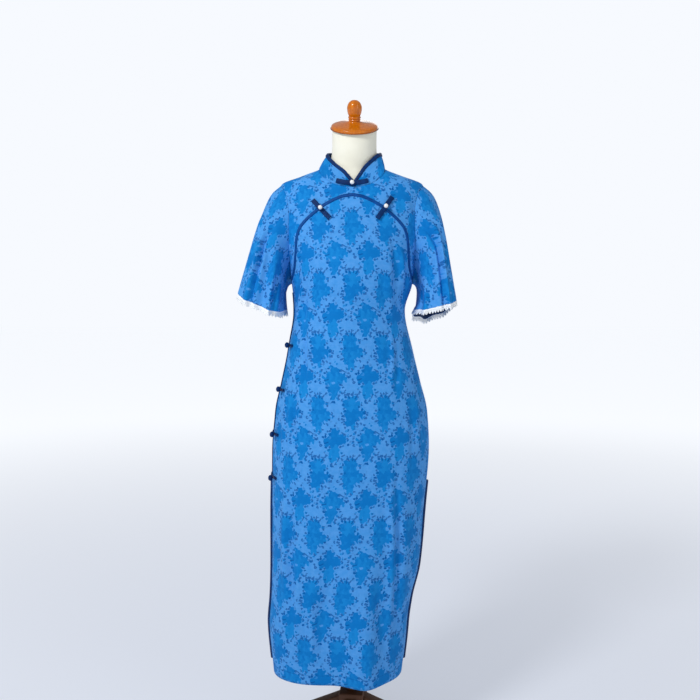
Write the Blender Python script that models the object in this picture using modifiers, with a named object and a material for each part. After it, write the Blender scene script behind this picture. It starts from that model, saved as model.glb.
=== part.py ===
"""A short-sleeved cheongsam on a limbless dress form with a wooden stand, in metres at real size.

+X is the wearer's left, -Y the front and +Z up. The origin is on the floor under the pole.
Angles on the body are in degrees: 0 at the wearer's left side, 90 at the front, 180 at the right side
and -90 at the back.
"""

import math
from collections import namedtuple

import bmesh
import bpy
from mathutils import Matrix, Vector

# Cloth
WALL = 0.0016
SEAM = 0.0006
ARCH_SEAM = 0.0013
ARMHOLE_SEAM = 0.0010
LACE_SEAM = 0.0009
SLIT_GAP_DEGREES = 1.6
HEM_Z = 0.197
ROW_EASE = 1.35
SHOULDER_SHIFT = 8
UNDERARM_Z = 1.080
SLIT_TOP_Z = 0.630
SLIT_OPEN_Z = 0.570
OPENING_TOP_Z = 1.060
SIDE_LAP = 6.6
LAP_FULL_Z = 0.780
SIDE_RADIUS = 0.12
SIDE_SHARE = math.cos(0.5 * SEAM / SIDE_RADIUS)

# Trim
BINDING_WIDTH = 0.0065
BINDING_THICK = 0.0018
LIFT = 0.0006
ARCH_LIFT = 0.0009
COLLAR_LIFT = 0.0011
EDGE_INSET = 2.4
ROW_CLEAR = 0.02
CROWN = 0.12
BEHIND = 0.05
SHORT_BAND = 8
FROG_WIDTH = 0.010
FROG_THICK = 0.0030
PEARL_RADIUS = 0.0047
KNOT_RADIUS = 0.0068
KNOT_SQUASH = 0.8
LACE_DEPTH = 0.0105
LACE_SCALLOP = 0.0035
LACE_SCALLOPS = 48
LACE_DIRECTION_FALL = 0.9
KNOT_HEIGHTS = (0.941, 0.842, 0.743, 0.646)

# Skirt ridge and folds
RIDGE_DEPTH = 0.026
RIDGE_X = 0.030
BACK_RIDGE_X = -0.060
RIDGE_WIDTH = 0.040
RIDGE_TOP_Z = 0.640

# Grid sizes
BODY_STEP = 6
BODY_COLUMNS = 180 // BODY_STEP
TIP_ANGLE = 42
NECK_ANGLE = 54
BACK_SHOULDER_COLUMNS = BODY_COLUMNS // 2 - (90 - NECK_ANGLE) // BODY_STEP
YOKE_START = 6
YOKE_COLUMNS = (180 - 2 * YOKE_START) // BODY_STEP
SKIRT_ROWS = 13
CHEST_ROWS = 5
YOKE_ROWS = 5
BACK_ROWS = 7
SLEEVE_COLUMNS = 28
SLEEVE_ROWS = 8
COLLAR_COLUMNS = 24
FORM_COLUMNS = 28

# Form and stand
FORM_BOTTOM_Z = 0.720
TILT = math.radians(28)
CAP_CENTRE = Vector((0.0055, -0.0225, 1.4268))
POLE_RADIUS = 0.0125
HUB_SIDE = 0.056
HUB_BOTTOM_Z = 0.062
HUB_TOP_Z = 0.1365
LEG_REACH = 0.276
LEG_THICK = 0.030
LEG_TURN = -6
LEG_RISE = 0.106
LEG_SWELL = 0.016
LEG_DEPTH = 0.044
TOE_RISE = 0.020
TOE_DEPTH = 0.024
LEG_STEPS = 12
SOLE_START = 0.8
GAP = 0.0003

Ring = namedtuple("Ring", "z centre half_width front back power")
BODY = (
    Ring(0.195, -0.0325, 0.1480, 0.106, 0.104, 2.9),
    Ring(0.300, -0.0315, 0.1580, 0.110, 0.108, 2.8),
    Ring(0.360, -0.0255, 0.1600, 0.113, 0.111, 2.7),
    Ring(0.440, -0.0150, 0.1680, 0.117, 0.116, 2.5),
    Ring(0.580, -0.0085, 0.1740, 0.123, 0.123, 2.3),
    Ring(0.700, -0.00225, 0.17825, 0.126, 0.126, 2.2),
    Ring(0.790, -0.0010, 0.1730, 0.122, 0.124, 2.15),
    Ring(0.860, -0.0020, 0.1575, 0.115, 0.114, 2.1),
    Ring(0.930, -0.0030, 0.1415, 0.109, 0.103, 2.1),
    Ring(1.020, -0.0060, 0.1260, 0.109, 0.096, 2.1),
    Ring(1.080, 0.0, 0.1365, 0.117, 0.100, 2.1),
    Ring(1.120, 0.0, 0.1415, 0.118, 0.104, 2.15),
    Ring(1.160, 0.0, 0.1490, 0.112, 0.106, 2.2),
    Ring(1.200, 0.0, 0.1570, 0.102, 0.106, 2.25),
    Ring(1.250, 0.0, 0.1640, 0.087, 0.101, 2.3),
    Ring(1.280, 0.0, 0.1660, 0.0785, 0.093, 2.3),
    Ring(1.3005, 0.0, 0.1600, 0.0735, 0.084, 2.2),
    Ring(1.318, 0.0, 0.1170, 0.0705, 0.075, 2.1),
    Ring(1.336, 0.0, 0.0740, 0.0690, 0.067, 2.0),
    Ring(1.352, 0.0, 0.0560, 0.0660, 0.062, 2.0),
)

FormRing = namedtuple("FormRing", "z half_width front back")
TORSO = (
    FormRing(0.720, 0.150, 0.100, 0.104),
    FormRing(0.790, 0.160, 0.110, 0.112),
    FormRing(0.860, 0.146, 0.104, 0.104),
    FormRing(0.930, 0.128, 0.098, 0.094),
    FormRing(1.020, 0.112, 0.096, 0.086),
    FormRing(1.072, 0.122, 0.106, 0.091),
    FormRing(1.120, 0.133, 0.111, 0.097),
    FormRing(1.160, 0.142, 0.106, 0.100),
    FormRing(1.200, 0.150, 0.097, 0.101),
    FormRing(1.250, 0.158, 0.083, 0.097),
    FormRing(1.275, 0.1575, 0.0745, 0.087),
    FormRing(1.2908, 0.1520, 0.0665, 0.078),
    FormRing(1.3078, 0.119, 0.0600, 0.068),
    FormRing(1.3228, 0.080, 0.0530, 0.0570),
)
NeckRing = namedtuple("NeckRing", "z shift lean half_width half_depth tilt")
NECK = (
    NeckRing(1.336, 0.0015, -0.0010, 0.0600, 0.0500, 4),
    NeckRing(1.354, 0.0040, -0.0060, 0.0525, 0.0480, 10),
    NeckRing(1.376, 0.0052, -0.0120, 0.0498, 0.0475, 17),
    NeckRing(1.398, 0.0054, -0.0170, 0.0492, 0.0470, 23),
    NeckRing(1.4234, 0.0055, -0.0207, 0.0495, 0.0475, 28),
)

# The arch between front and yoke, by the angle at which a column leaves the underarm row
Arch = namedtuple("Arch", "angle x z")
ARCH = (
    Arch(0, 0.1365, 1.0840),
    Arch(6, 0.1320, 1.0920),
    Arch(12, 0.1265, 1.1120),
    Arch(18, 0.1228, 1.1440),
    Arch(24, 0.1200, 1.1750),
    Arch(30, 0.1140, 1.1960),
    Arch(36, 0.1030, 1.2110),
    Arch(42, 0.0890, 1.2240),
    Arch(54, 0.0590, 1.2475),
    Arch(66, 0.0375, 1.2590),
    Arch(78, 0.0180, 1.2662),
    Arch(90, 0.0000, 1.2690),
)
# The armhole seam, from underarm to shoulder tip, by the same angle
Armhole = namedtuple("Armhole", "angle x z")
ARMHOLE = (
    Armhole(0, 0.1365, 1.0800),
    Armhole(6, 0.1378, 1.0980),
    Armhole(12, 0.1387, 1.1250),
    Armhole(18, 0.1387, 1.1620),
    Armhole(24, 0.1378, 1.2010),
    Armhole(30, 0.1378, 1.2390),
    Armhole(36, 0.1445, 1.2730),
    Armhole(42, 0.1600, 1.3005),
)
NECK_SIDE_Z = 1.336
# The neck seam, from the side of the neck to the middle, front and back
NeckSeam = namedtuple("NeckSeam", "angle x front_z back_z")
NECK_SEAM = (
    NeckSeam(54, 0.0740, 1.3360, 1.3360),
    NeckSeam(60, 0.0700, 1.3190, 1.3375),
    NeckSeam(66, 0.0600, 1.3060, 1.3395),
    NeckSeam(72, 0.0470, 1.2970, 1.3410),
    NeckSeam(78, 0.0320, 1.2910, 1.3420),
    NeckSeam(84, 0.0160, 1.2872, 1.3425),
    NeckSeam(90, 0.0000, 1.2860, 1.3425),
)

# Sections of a sleeve: its outer and inner edges seen from the front, and how far it stands out to
# the front and back. Drop lowers the middle of the front and back edges below a straight line.
Sleeve = namedtuple("Sleeve", "fall outer_x outer_z inner_x inner_z front back drop_front drop_back")
SLEEVE_RIGHT = (
    Sleeve(0.00, 0.1600, 1.3005, 0.1366, 1.0800, 0.056, 0.060, 0.000, 0.000),
    Sleeve(0.12, 0.1800, 1.2830, 0.1420, 1.0770, 0.062, 0.066, 0.000, 0.000),
    Sleeve(0.25, 0.1930, 1.2600, 0.1460, 1.0710, 0.068, 0.071, 0.001, 0.001),
    Sleeve(0.50, 0.2145, 1.2030, 0.1500, 1.0570, 0.077, 0.080, 0.004, 0.006),
    Sleeve(0.75, 0.2350, 1.1350, 0.1495, 1.0390, 0.085, 0.088, 0.009, 0.012),
    Sleeve(1.00, 0.2560, 1.0650, 0.1480, 1.0220, 0.092, 0.095, 0.016, 0.020),
)
SLEEVE_LEFT = (
    Sleeve(0.00, 0.1600, 1.3005, 0.1366, 1.0800, 0.056, 0.060, 0.000, 0.000),
    Sleeve(0.12, 0.1800, 1.2830, 0.1420, 1.0770, 0.062, 0.066, 0.000, 0.000),
    Sleeve(0.25, 0.1925, 1.2600, 0.1460, 1.0700, 0.068, 0.071, 0.001, 0.001),
    Sleeve(0.50, 0.2095, 1.2000, 0.1490, 1.0550, 0.077, 0.080, 0.003, 0.008),
    Sleeve(0.75, 0.2230, 1.1250, 0.1470, 1.0370, 0.084, 0.088, 0.006, 0.017),
    Sleeve(1.00, 0.2370, 1.0500, 0.1410, 1.0240, 0.089, 0.094, 0.010, 0.034),
)
SLEEVE_FOLDS = 6
FOLD_DEPTH = 0.0065
FOLD_START = 0.1
SLOW_FOLD_SHARE = 0.4
FLAT_OUTSIDE = 0.75
FLAT_INSIDE = 0.6
SLEEVE_FALL = 0.28
CAP_BLEND = 0.45
CAP_CORE_X = 0.09
CAP_CORE_DROP = 0.03

# Collar's top edge: height and depth by the angle from the wearer's left side
CollarTop = namedtuple("CollarTop", "angle z reach")
COLLAR_TOP = (
    CollarTop(-90, 1.3850, 0.0560),
    CollarTop(-40, 1.3800, 0.0560),
    CollarTop(0, 1.3720, 0.0575),
    CollarTop(30, 1.3590, 0.0590),
    CollarTop(50, 1.3450, 0.0610),
    CollarTop(68, 1.3290, 0.0640),
    CollarTop(80, 1.3120, 0.0675),
    CollarTop(90, 1.2990, 0.0700),
)
COLLAR_TOP_RADIUS = 0.0595
COLLAR_TOP_SHIFT = 0.0050
COLLAR_SKEW = 0.0060
COLLAR_OPEN = 1.0
COLLAR_ROWS = 3
COLLAR_BINDING_INSET = 0.55 * BINDING_WIDTH
COLLAR_RAISE = 0.0013

COLLAR_FROG_HALF = 0.033
COLLAR_FROG_Z = 1.2950
COLLAR_FROG_BOW = 0.0050
COLLAR_FROG_LIFT = 0.0014
SIDE_FROG_HALF = 13.0
SIDE_FROG_ANGLE = 168
KNOT_ANGLE = 160
# Frogs on the arch: their two ends in x and z
FROGS = (
    ("right", (-0.0840, 1.2570), (-0.0480, 1.2165)),
    ("left", (0.0865, 1.2645), (0.0540, 1.2160)),
)
FROG_STEPS = 6
COLLAR_FROG_STEPS = 4
SIDE_FROG_WIDTH = 0.006
SIDE_FROG_THICK = 0.0020

# Turned profile of the neck cap and knob: radius and height along its own axis, top to bottom
CAP_PROFILE = (
    (0.0000, 0.0583),
    (0.0065, 0.0570),
    (0.0128, 0.0520),
    (0.0160, 0.0445),
    (0.0163, 0.0385),
    (0.0150, 0.0300),
    (0.0126, 0.0238),
    (0.0138, 0.0200),
    (0.0124, 0.0160),
    (0.0160, 0.0110),
    (0.0270, 0.0085),
    (0.0420, 0.0060),
    (0.0505, 0.0030),
    (0.0517, 0.0008),
    (0.0517, -0.0015),
    (0.0500, -0.0035),
    (0.0000, -0.0035),
)

BLUE = (0.105, 0.255, 0.560)
NAVY = (0.012, 0.030, 0.105)
WHITE = (0.85, 0.85, 0.83)
CREAM = (0.80, 0.76, 0.66)
LACQUER = (0.42, 0.12, 0.02)
DARK_WOOD = (0.10, 0.035, 0.012)


def finish_of(name, colour, roughness, metallic=0.0):
    """A plain Principled material."""
    finish = bpy.data.materials.new(name)
    finish.use_nodes = True
    shader = finish.node_tree.nodes["Principled BSDF"]
    shader.inputs["Base Color"].default_value = (*colour, 1.0)
    shader.inputs["Roughness"].default_value = roughness
    shader.inputs["Metallic"].default_value = metallic
    return finish


def slope(rows, index, column):
    """Slope of a table's column at a row, never past its neighbours, so that a curve has no overshoot."""
    if index in (0, len(rows) - 1):
        low = min(index, len(rows) - 2)
        return (rows[low + 1][column] - rows[low][column]) / (rows[low + 1][0] - rows[low][0])
    before = (rows[index][column] - rows[index - 1][column]) / (rows[index][0] - rows[index - 1][0])
    after = (rows[index + 1][column] - rows[index][column]) / (rows[index + 1][0] - rows[index][0])
    if before * after <= 0:
        return 0.0
    return 2 * before * after / (before + after)


def smooth(rows, at):
    """The row of a table at any value of its first column."""
    at = min(max(at, rows[0][0]), rows[-1][0])
    high = next(index for index in range(1, len(rows)) if at <= rows[index][0])
    low = high - 1
    span = rows[high][0] - rows[low][0]
    t = (at - rows[low][0]) / span
    values = []
    for column in range(len(rows[0])):
        start, end = rows[low][column], rows[high][column]
        leave, arrive = slope(rows, low, column) * span, slope(rows, high, column) * span
        value = start * (1 + 2 * t) * (1 - t) ** 2 + end * t * t * (3 - 2 * t)
        values.append(value + leave * t * (1 - t) ** 2 - arrive * t * t * (1 - t))
    return type(rows[0])(*values)


def fade(value, start, end):
    """0 at start and 1 at end, eased at both."""
    t = min(max((value - start) / (end - start), 0.0), 1.0)
    return t * t * (3 - 2 * t)


def on_body(angle, z):
    """Point of the dress's outer face."""
    ring = smooth(BODY, z)
    across, depth = math.cos(math.radians(angle)), math.sin(math.radians(angle))
    x = ring.centre + ring.half_width * math.copysign(abs(across) ** (2 / ring.power), across)
    reach = ring.front if depth > 0 else ring.back
    y = -math.copysign(reach * abs(depth) ** (2 / ring.power), depth)
    hang = fade(z, RIDGE_TOP_Z, HEM_Z) * abs(depth) ** 0.5
    side = RIDGE_X if depth > 0 else BACK_RIDGE_X
    ridge = RIDGE_DEPTH * hang * math.exp(-(((x - side) / RIDGE_WIDTH) ** 2))
    return Vector((x, y - math.copysign(ridge, depth), z))


def body_normal(angle, z):
    """Direction straight out of the dress's outer face."""
    along = on_body(angle + 1, z) - on_body(angle - 1, z)
    up = on_body(angle, z + 0.002) - on_body(angle, z - 0.002)
    return up.cross(along).normalized()


def angle_at(x, z, front=True):
    """Angle at which the body's face has this x, on its front or its back."""
    ring = smooth(BODY, z)
    share = (x - ring.centre) / ring.half_width
    share = math.copysign(min(abs(share) ** (ring.power / 2), SIDE_SHARE), share)
    angle = math.degrees(math.acos(share))
    return angle if front else -angle


def mirrored(curve, angle, *more):
    """(x, z) of a curve given for 0 to 90 degrees, also past 90 on the wearer's right."""
    if angle <= 90:
        return curve(angle, *more)
    x, z = curve(180 - angle, *more)
    return -x, z


def arch_half(angle):
    row = smooth(ARCH, angle)
    return row.x, row.z


def arch(angle):
    """The arch's x and z, for a column of the front panel."""
    return mirrored(arch_half, angle)


def top_half(angle, front):
    """Top edge of the yoke or the back: armhole, then shoulder, then neck."""
    if angle <= TIP_ANGLE:
        row = smooth(ARMHOLE, angle)
        return row.x, row.z
    if angle <= NECK_ANGLE:
        share = (angle - TIP_ANGLE) / (NECK_ANGLE - TIP_ANGLE)
        z = ARMHOLE[-1].z + share * (NECK_SIDE_Z - ARMHOLE[-1].z)
        return smooth(BODY, z).half_width, z
    row = smooth(NECK_SEAM, angle)
    return row.x, row.front_z if front else row.back_z


def top_edge(angle, front):
    return mirrored(top_half, angle, front)


def shifted(curve, angle, distance):
    """A point of an (x, z) curve, moved square to it by a distance, up and outwards when positive."""
    x, z = curve(angle)
    x_before, z_before = curve(max(angle - 1, 0))
    x_after, z_after = curve(min(angle + 1, 180))
    along = Vector((x_before - x_after, z_before - z_after)).normalized()
    return x - along.y * distance, z + along.x * distance


def between(start, end, share):
    return tuple(a + (b - a) * share for a, b in zip(start, end))


def eased(row, rows):
    """Share of the way up a column, with rows closer together towards the shoulder line."""
    return 1 - (1 - row / rows) ** 2


def add_object(name, mesh, finish):
    thing = bpy.data.objects.new(name, mesh)
    mesh.materials.append(finish)
    parts.objects.link(thing)
    mesh.shade_smooth()
    mesh.set_sharp_from_angle(angle=math.radians(40))
    return thing


def grid(name, columns, rows, place, finish, core, closed=False, capped=False):
    """A grid whose points stand where place(column, row) says, its faces turned away from core(point)."""
    shape = bmesh.new()
    bmesh.ops.create_grid(shape, x_segments=columns, y_segments=rows, size=0.5)
    for vert in shape.verts:
        vert.co = place(round((vert.co.x + 0.5) * columns), round((vert.co.y + 0.5) * rows))
    if closed:
        bmesh.ops.remove_doubles(shape, verts=shape.verts, dist=1e-6)
    shape.normal_update()
    centres = [(face, face.calc_center_median()) for face in shape.faces]
    if sum(face.normal.dot(centre - core(centre)) for face, centre in centres) < 0:
        bmesh.ops.reverse_faces(shape, faces=shape.faces)
    if capped:
        rim = [edge for edge in shape.edges if edge.is_boundary]
        bmesh.ops.holes_fill(shape, edges=rim)
    mesh = bpy.data.meshes.new(name)
    shape.to_mesh(mesh)
    shape.free()
    return add_object(name, mesh, finish)


def walled(thing, thickness, offset):
    wall = thing.modifiers.new("wall", "SOLIDIFY")
    wall.thickness = thickness
    wall.offset = offset
    wall.use_quality_normals = True
    return thing


def body_core(point):
    return Vector((0, 0, point.z))


def side_edge(z):
    """Degrees between a panel's side edge and the side line: a seam, and a wider gap at the slits."""
    seam = math.degrees(0.5 * SEAM / SIDE_RADIUS)
    return seam + SLIT_GAP_DEGREES * fade(z, SLIT_TOP_Z, SLIT_OPEN_Z)


def panel_angle(column, z):
    edge = side_edge(z)
    return edge + (180 - 2 * edge) * column / BODY_COLUMNS


def skirt_height(row):
    return UNDERARM_Z - (UNDERARM_Z - HEM_Z) * (1 - row / SKIRT_ROWS) ** ROW_EASE


def front_point(column, row):
    """Front panel: rings up to the underarm, then straight on to the arch."""
    if row <= SKIRT_ROWS:
        z = skirt_height(row)
        return on_body(panel_angle(column, z), z)
    start_angle = panel_angle(column, UNDERARM_Z)
    start = (on_body(start_angle, UNDERARM_Z).x, UNDERARM_Z)
    x, z = between(start, arch(BODY_STEP * column), (row - SKIRT_ROWS) / CHEST_ROWS)
    return on_body(angle_at(x, z), z)


def back_top(column):
    """Top edge of the back between its shoulder tips: shoulder, neck, shoulder."""
    half = min(column, BODY_COLUMNS - column)
    if half <= BACK_SHOULDER_COLUMNS:
        share = half / BACK_SHOULDER_COLUMNS
        x, z = top_half(TIP_ANGLE + share * (NECK_ANGLE - TIP_ANGLE), False)
    else:
        x, z = top_half(NECK_ANGLE + BODY_STEP * (half - BACK_SHOULDER_COLUMNS), False)
    return (x, z) if half == column else (-x, z)


def back_point(column, row):
    """Back panel: rings up to the underarm, then on between the armholes to shoulders and neck."""
    if row <= SKIRT_ROWS:
        z = skirt_height(row)
        return on_body(-panel_angle(column, z), z)
    start_angle = panel_angle(column, UNDERARM_Z)
    start = (on_body(-start_angle, UNDERARM_Z).x, UNDERARM_Z)
    share = eased(row - SKIRT_ROWS, BACK_ROWS)
    x, z = between(start, back_top(column), share)
    side = 1 if column <= BODY_COLUMNS / 2 else -1
    near_side = abs(1 - 2 * column / BODY_COLUMNS) ** 3
    seam_x, seam_z = top_half(TIP_ANGLE * (row - SKIRT_ROWS) / BACK_ROWS, False)
    line_x, line_z = between((ARMHOLE[0].x, UNDERARM_Z), (ARMHOLE[-1].x, ARMHOLE[-1].z), share)
    x += side * (seam_x - line_x) * near_side
    z += (seam_z - line_z) * near_side
    point = on_body(angle_at(x, z, False), z)
    return point + Vector((0, SEAM, 0)) * share**SHOULDER_SHIFT


def yoke_point(column, row):
    """Yoke: from just above the arch to armholes, shoulders and neck."""
    angle = YOKE_START + BODY_STEP * column
    start = shifted(arch, angle, ARCH_SEAM)
    share = eased(row, YOKE_ROWS)
    x, z = between(start, top_edge(angle, True), share)
    point = on_body(angle_at(x, z), z)
    return point - Vector((0, SEAM, 0)) * share**SHOULDER_SHIFT


def armhole_station(side, angle, front):
    row = smooth(ARMHOLE, angle)
    point = on_body(angle_at(row.x, row.z, front), row.z)
    return Vector((side * point.x, point.y, point.z))


def armhole_point(side, around):
    """Armhole seam on the body, straight between the panels' own points: around runs from 0 at the
    shoulder tip along the front to 180 at the underarm, and on to 360 along the back."""
    front = around <= 180
    from_tip = around if front else 360 - around
    steps = TIP_ANGLE / BODY_STEP * (1 - from_tip / 180)
    low = min(math.floor(steps), TIP_ANGLE // BODY_STEP - 1)
    start = armhole_station(side, low * BODY_STEP, front)
    return start.lerp(armhole_station(side, (low + 1) * BODY_STEP, front), steps - low)


def sleeve_ring(table, side, fall, around):
    """Point of a smooth flared tube through the table's sections."""
    row = smooth(table, fall)
    turn = math.radians(around)
    middle_x, middle_z = (row.outer_x + row.inner_x) / 2, (row.outer_z + row.inner_z) / 2
    lean = math.cos(turn) / 2
    depth = math.sin(turn)
    reach, drop = (row.front, row.drop_front) if depth > 0 else (row.back, row.drop_back)
    x = middle_x + (row.outer_x - row.inner_x) * lean
    z = middle_z + (row.outer_z - row.inner_z) * lean - drop * abs(depth)
    return Vector((side * x, -reach * depth, z))


def sleeve_point(table, side, fall, around):
    """The sleeve: its tube, drawn in to the armhole at the top and folded towards the hem."""
    ring = sleeve_ring(table, side, fall, around)
    pull = 1 - fade(fall, 0.0, CAP_BLEND)
    point = ring + (armhole_point(side, around) - sleeve_ring(table, side, 0.0, around)) * pull
    centre = sleeve_ring(table, side, fall, 0).lerp(sleeve_ring(table, side, fall, 180), 0.5)
    out = (point - centre).normalized()
    turn = math.radians(around)
    slow = math.cos((SLEEVE_FOLDS - 2) * turn + 2 * side)
    wave = math.cos(SLEEVE_FOLDS * turn + side) + SLOW_FOLD_SHARE * slow
    away = 1 - FLAT_OUTSIDE * math.cos(turn / 2) ** 8 - FLAT_INSIDE * math.sin(turn / 2) ** 12
    return point + out * wave * away * FOLD_DEPTH * fade(fall, FOLD_START, 1.0)


def away_from_armhole(side, around):
    """Direction from the armhole seam away from the body's panels, along their face."""
    step = 180 / SLEEVE_COLUMNS
    along = armhole_point(side, (around + step) % 360) - armhole_point(side, (around - step) % 360)
    point = armhole_point(side, around)
    out = (point - Vector((side * CAP_CORE_X, 0, point.z - CAP_CORE_DROP))).normalized()
    return (out - out.project(along)).normalized()


def make_sleeve(name, table, side, finish):
    def place(column, row):
        around = 360 * column / SLEEVE_COLUMNS % 360
        fall = row / SLEEVE_ROWS
        gap = away_from_armhole(side, around) * ARMHOLE_SEAM * (1 - fall)
        return sleeve_point(table, side, fall, around) + gap

    def core(point):
        fall = min(max((table[0].outer_z - point.z) / SLEEVE_FALL, 0.0), 1.0)
        top = sleeve_ring(table, side, fall, 0)
        return top.lerp(sleeve_ring(table, side, fall, 180), 0.5)

    sleeve = grid(name, SLEEVE_COLUMNS, SLEEVE_ROWS, place, finish, core, closed=True)
    walled(sleeve, WALL, -1)


def make_lace(name, table, side, finish):
    """Scalloped edging that hangs from the sleeve's hem."""
    columns = 2 * LACE_SCALLOPS

    def hem(fall, step):
        return sleeve_point(table, side, fall, 360 * (step % SLEEVE_COLUMNS) / SLEEVE_COLUMNS)

    def place(column, row):
        around = 360 * column / columns % 360
        nearest = SLEEVE_COLUMNS * around / 360
        low, share = math.floor(nearest), nearest % 1
        edge = hem(1.0, low).lerp(hem(1.0, low + 1), share)
        above = hem(LACE_DIRECTION_FALL, low).lerp(hem(LACE_DIRECTION_FALL, low + 1), share)
        down = (edge - above).normalized()
        length = LACE_DEPTH - LACE_SCALLOP * (column % 2)
        return edge + down * (LACE_SEAM + (length if row == 0 else 0))

    def core(point):
        top = sleeve_ring(table, side, 1.0, 0)
        return top.lerp(sleeve_ring(table, side, 1.0, 180), 0.5)

    walled(grid(name, columns, 1, place, finish, core, closed=True), WALL, -1)


def quarter_turn(turn):
    """Degrees from the nearer side of the neck."""
    return abs(turn) if abs(turn) <= 90 else 180 - abs(turn)


def neck_base(turn):
    """Neck seam, by the angle round the neck, a little above the yoke and back."""
    front = turn > 0
    seam_angle = NECK_ANGLE + (90 - NECK_ANGLE) * quarter_turn(turn) / 90
    x, z = top_edge(seam_angle, front)
    x = math.copysign(x, math.cos(math.radians(turn)))
    point = on_body(angle_at(x, z, front), z)
    return point + Vector((0, 0, COLLAR_RAISE))


def collar_point(turn, rise):
    """Collar's outer face: turn runs round the neck, rise from its seam to its top edge."""
    base = neck_base(turn)
    row = smooth(COLLAR_TOP, math.copysign(quarter_turn(turn), turn))
    swing = math.radians(turn)
    skew = COLLAR_SKEW * math.sin(2 * swing) if turn > 0 else 0.0
    x = COLLAR_TOP_SHIFT + COLLAR_TOP_RADIUS * math.cos(swing)
    top = Vector((x, -row.reach * math.sin(swing), row.z + skew))
    return base.lerp(top, rise)


def collar_turn(column):
    """From the front opening on the wearer's left, round the back, to the wearer's right front."""
    if column in (0, COLLAR_COLUMNS):
        return 90 - COLLAR_OPEN if column == 0 else COLLAR_OPEN - 270
    return 90 - 360 * column / COLLAR_COLUMNS


def wrapped(turn):
    return turn if turn > -180 else turn + 360


Station = namedtuple("Station", "point normal")


def body_stations(places):
    """Points of the dress's outer face, each with its normal, for (angle, z) places."""
    return [Station(on_body(angle, z), body_normal(angle, z)) for angle, z in places]


def laid(name, stations, width, thickness, finish, lift=LIFT):
    """A flat band along stations of a panel's face, made from its points, moved out."""
    last = len(stations) - 1

    def place(column, row):
        here = stations[column]
        along = stations[min(column + 1, last)].point - stations[max(column - 1, 0)].point
        across = here.normal.cross(along).normalized()
        crown = CROWN * thickness if row == 1 else 0.0
        return here.point + across * width * (row / 2 - 0.5) + here.normal * (lift + crown)

    middle = stations[last // 2]
    inside = middle.point - middle.normal * BEHIND

    def core(point):
        return inside if last <= SHORT_BAND else body_core(point)

    walled(grid(name, last, 2, place, finish, core), thickness, 1)


def straight_places(start, end, steps):
    """(angle, z) places on the front along a line between two (x, z) points."""
    line = [between(start, end, step / steps) for step in range(steps + 1)]
    return [(angle_at(x, z), z) for x, z in line]


def ball(name, centre, radius, finish, squash=1.0):
    shape = bmesh.new()
    bmesh.ops.create_uvsphere(shape, u_segments=10, v_segments=6, radius=radius)
    bmesh.ops.scale(shape, vec=(squash, 1, 1), verts=shape.verts)
    bmesh.ops.translate(shape, vec=centre, verts=shape.verts)
    mesh = bpy.data.meshes.new(name)
    shape.to_mesh(mesh)
    shape.free()
    return add_object(name, mesh, finish)


def make_panels(cloth):
    rows = SKIRT_ROWS + CHEST_ROWS
    walled(grid("front", BODY_COLUMNS, rows, front_point, cloth, body_core), WALL, -1)
    rows = SKIRT_ROWS + BACK_ROWS
    walled(grid("back", BODY_COLUMNS, rows, back_point, cloth, body_core), WALL, -1)
    walled(grid("yoke", YOKE_COLUMNS, YOKE_ROWS, yoke_point, cloth, body_core), WALL, -1)


def make_collar(cloth, navy):
    def place(column, row):
        return collar_point(wrapped(collar_turn(column)), row / COLLAR_ROWS)

    walled(grid("collar", COLLAR_COLUMNS, COLLAR_ROWS, place, cloth, body_core), WALL, -1)
    stations = []
    for column in range(COLLAR_COLUMNS + 1):
        turn = collar_turn(column)
        before = collar_turn(min(column + 1, COLLAR_COLUMNS))
        after = collar_turn(max(column - 1, 0))
        along = (collar_point(wrapped(before), 1.0) - collar_point(wrapped(after), 1.0)).normalized()
        top = collar_point(wrapped(turn), 1.0)
        down = collar_point(wrapped(turn), 0.8) - top
        normal = along.cross(down).normalized()
        inward = normal.cross(along)
        if inward.z > 0:
            inward = -inward
        if normal.dot(top - body_core(top)) < 0:
            normal = -normal
        stations.append(Station(top + inward * COLLAR_BINDING_INSET, normal))
    laid("collar_binding", stations, BINDING_WIDTH, BINDING_THICK, navy, COLLAR_LIFT)


def make_bindings(navy):
    angles = range(YOKE_START, 181 - YOKE_START, BODY_STEP)
    places = [(angle_at(*arch(angle)), arch(angle)[1]) for angle in angles]
    laid("arch_binding", body_stations(places), BINDING_WIDTH, BINDING_THICK, navy, ARCH_LIFT)
    rows = [skirt_height(row) for row in range(SKIRT_ROWS)]
    opening = [SLIT_TOP_Z + BINDING_WIDTH, *(z for z in rows if z > SLIT_TOP_Z + ROW_CLEAR), OPENING_TOP_Z]
    lap = [EDGE_INSET + SIDE_LAP * fade(z, SLIT_TOP_Z, LAP_FULL_Z) for z in opening]
    side = body_stations([(180 - inset, z) for inset, z in zip(lap, opening)])
    laid("side_binding", side, BINDING_WIDTH, BINDING_THICK, navy)
    slit = (z for z in rows if HEM_Z + ROW_CLEAR < z < SLIT_TOP_Z - ROW_CLEAR)
    slit = [HEM_Z + BINDING_WIDTH, *slit, SLIT_TOP_Z]
    slits = (
        ("slit_binding_left_front", lambda z: side_edge(z) + EDGE_INSET),
        ("slit_binding_left_back", lambda z: -side_edge(z) - EDGE_INSET),
        ("slit_binding_right_front", lambda z: 180 - side_edge(z) - EDGE_INSET),
        ("slit_binding_right_back", lambda z: side_edge(z) + EDGE_INSET - 180),
    )
    for name, angle in slits:
        laid(name, body_stations([(angle(z), z) for z in slit]), BINDING_WIDTH, BINDING_THICK, navy)


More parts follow.
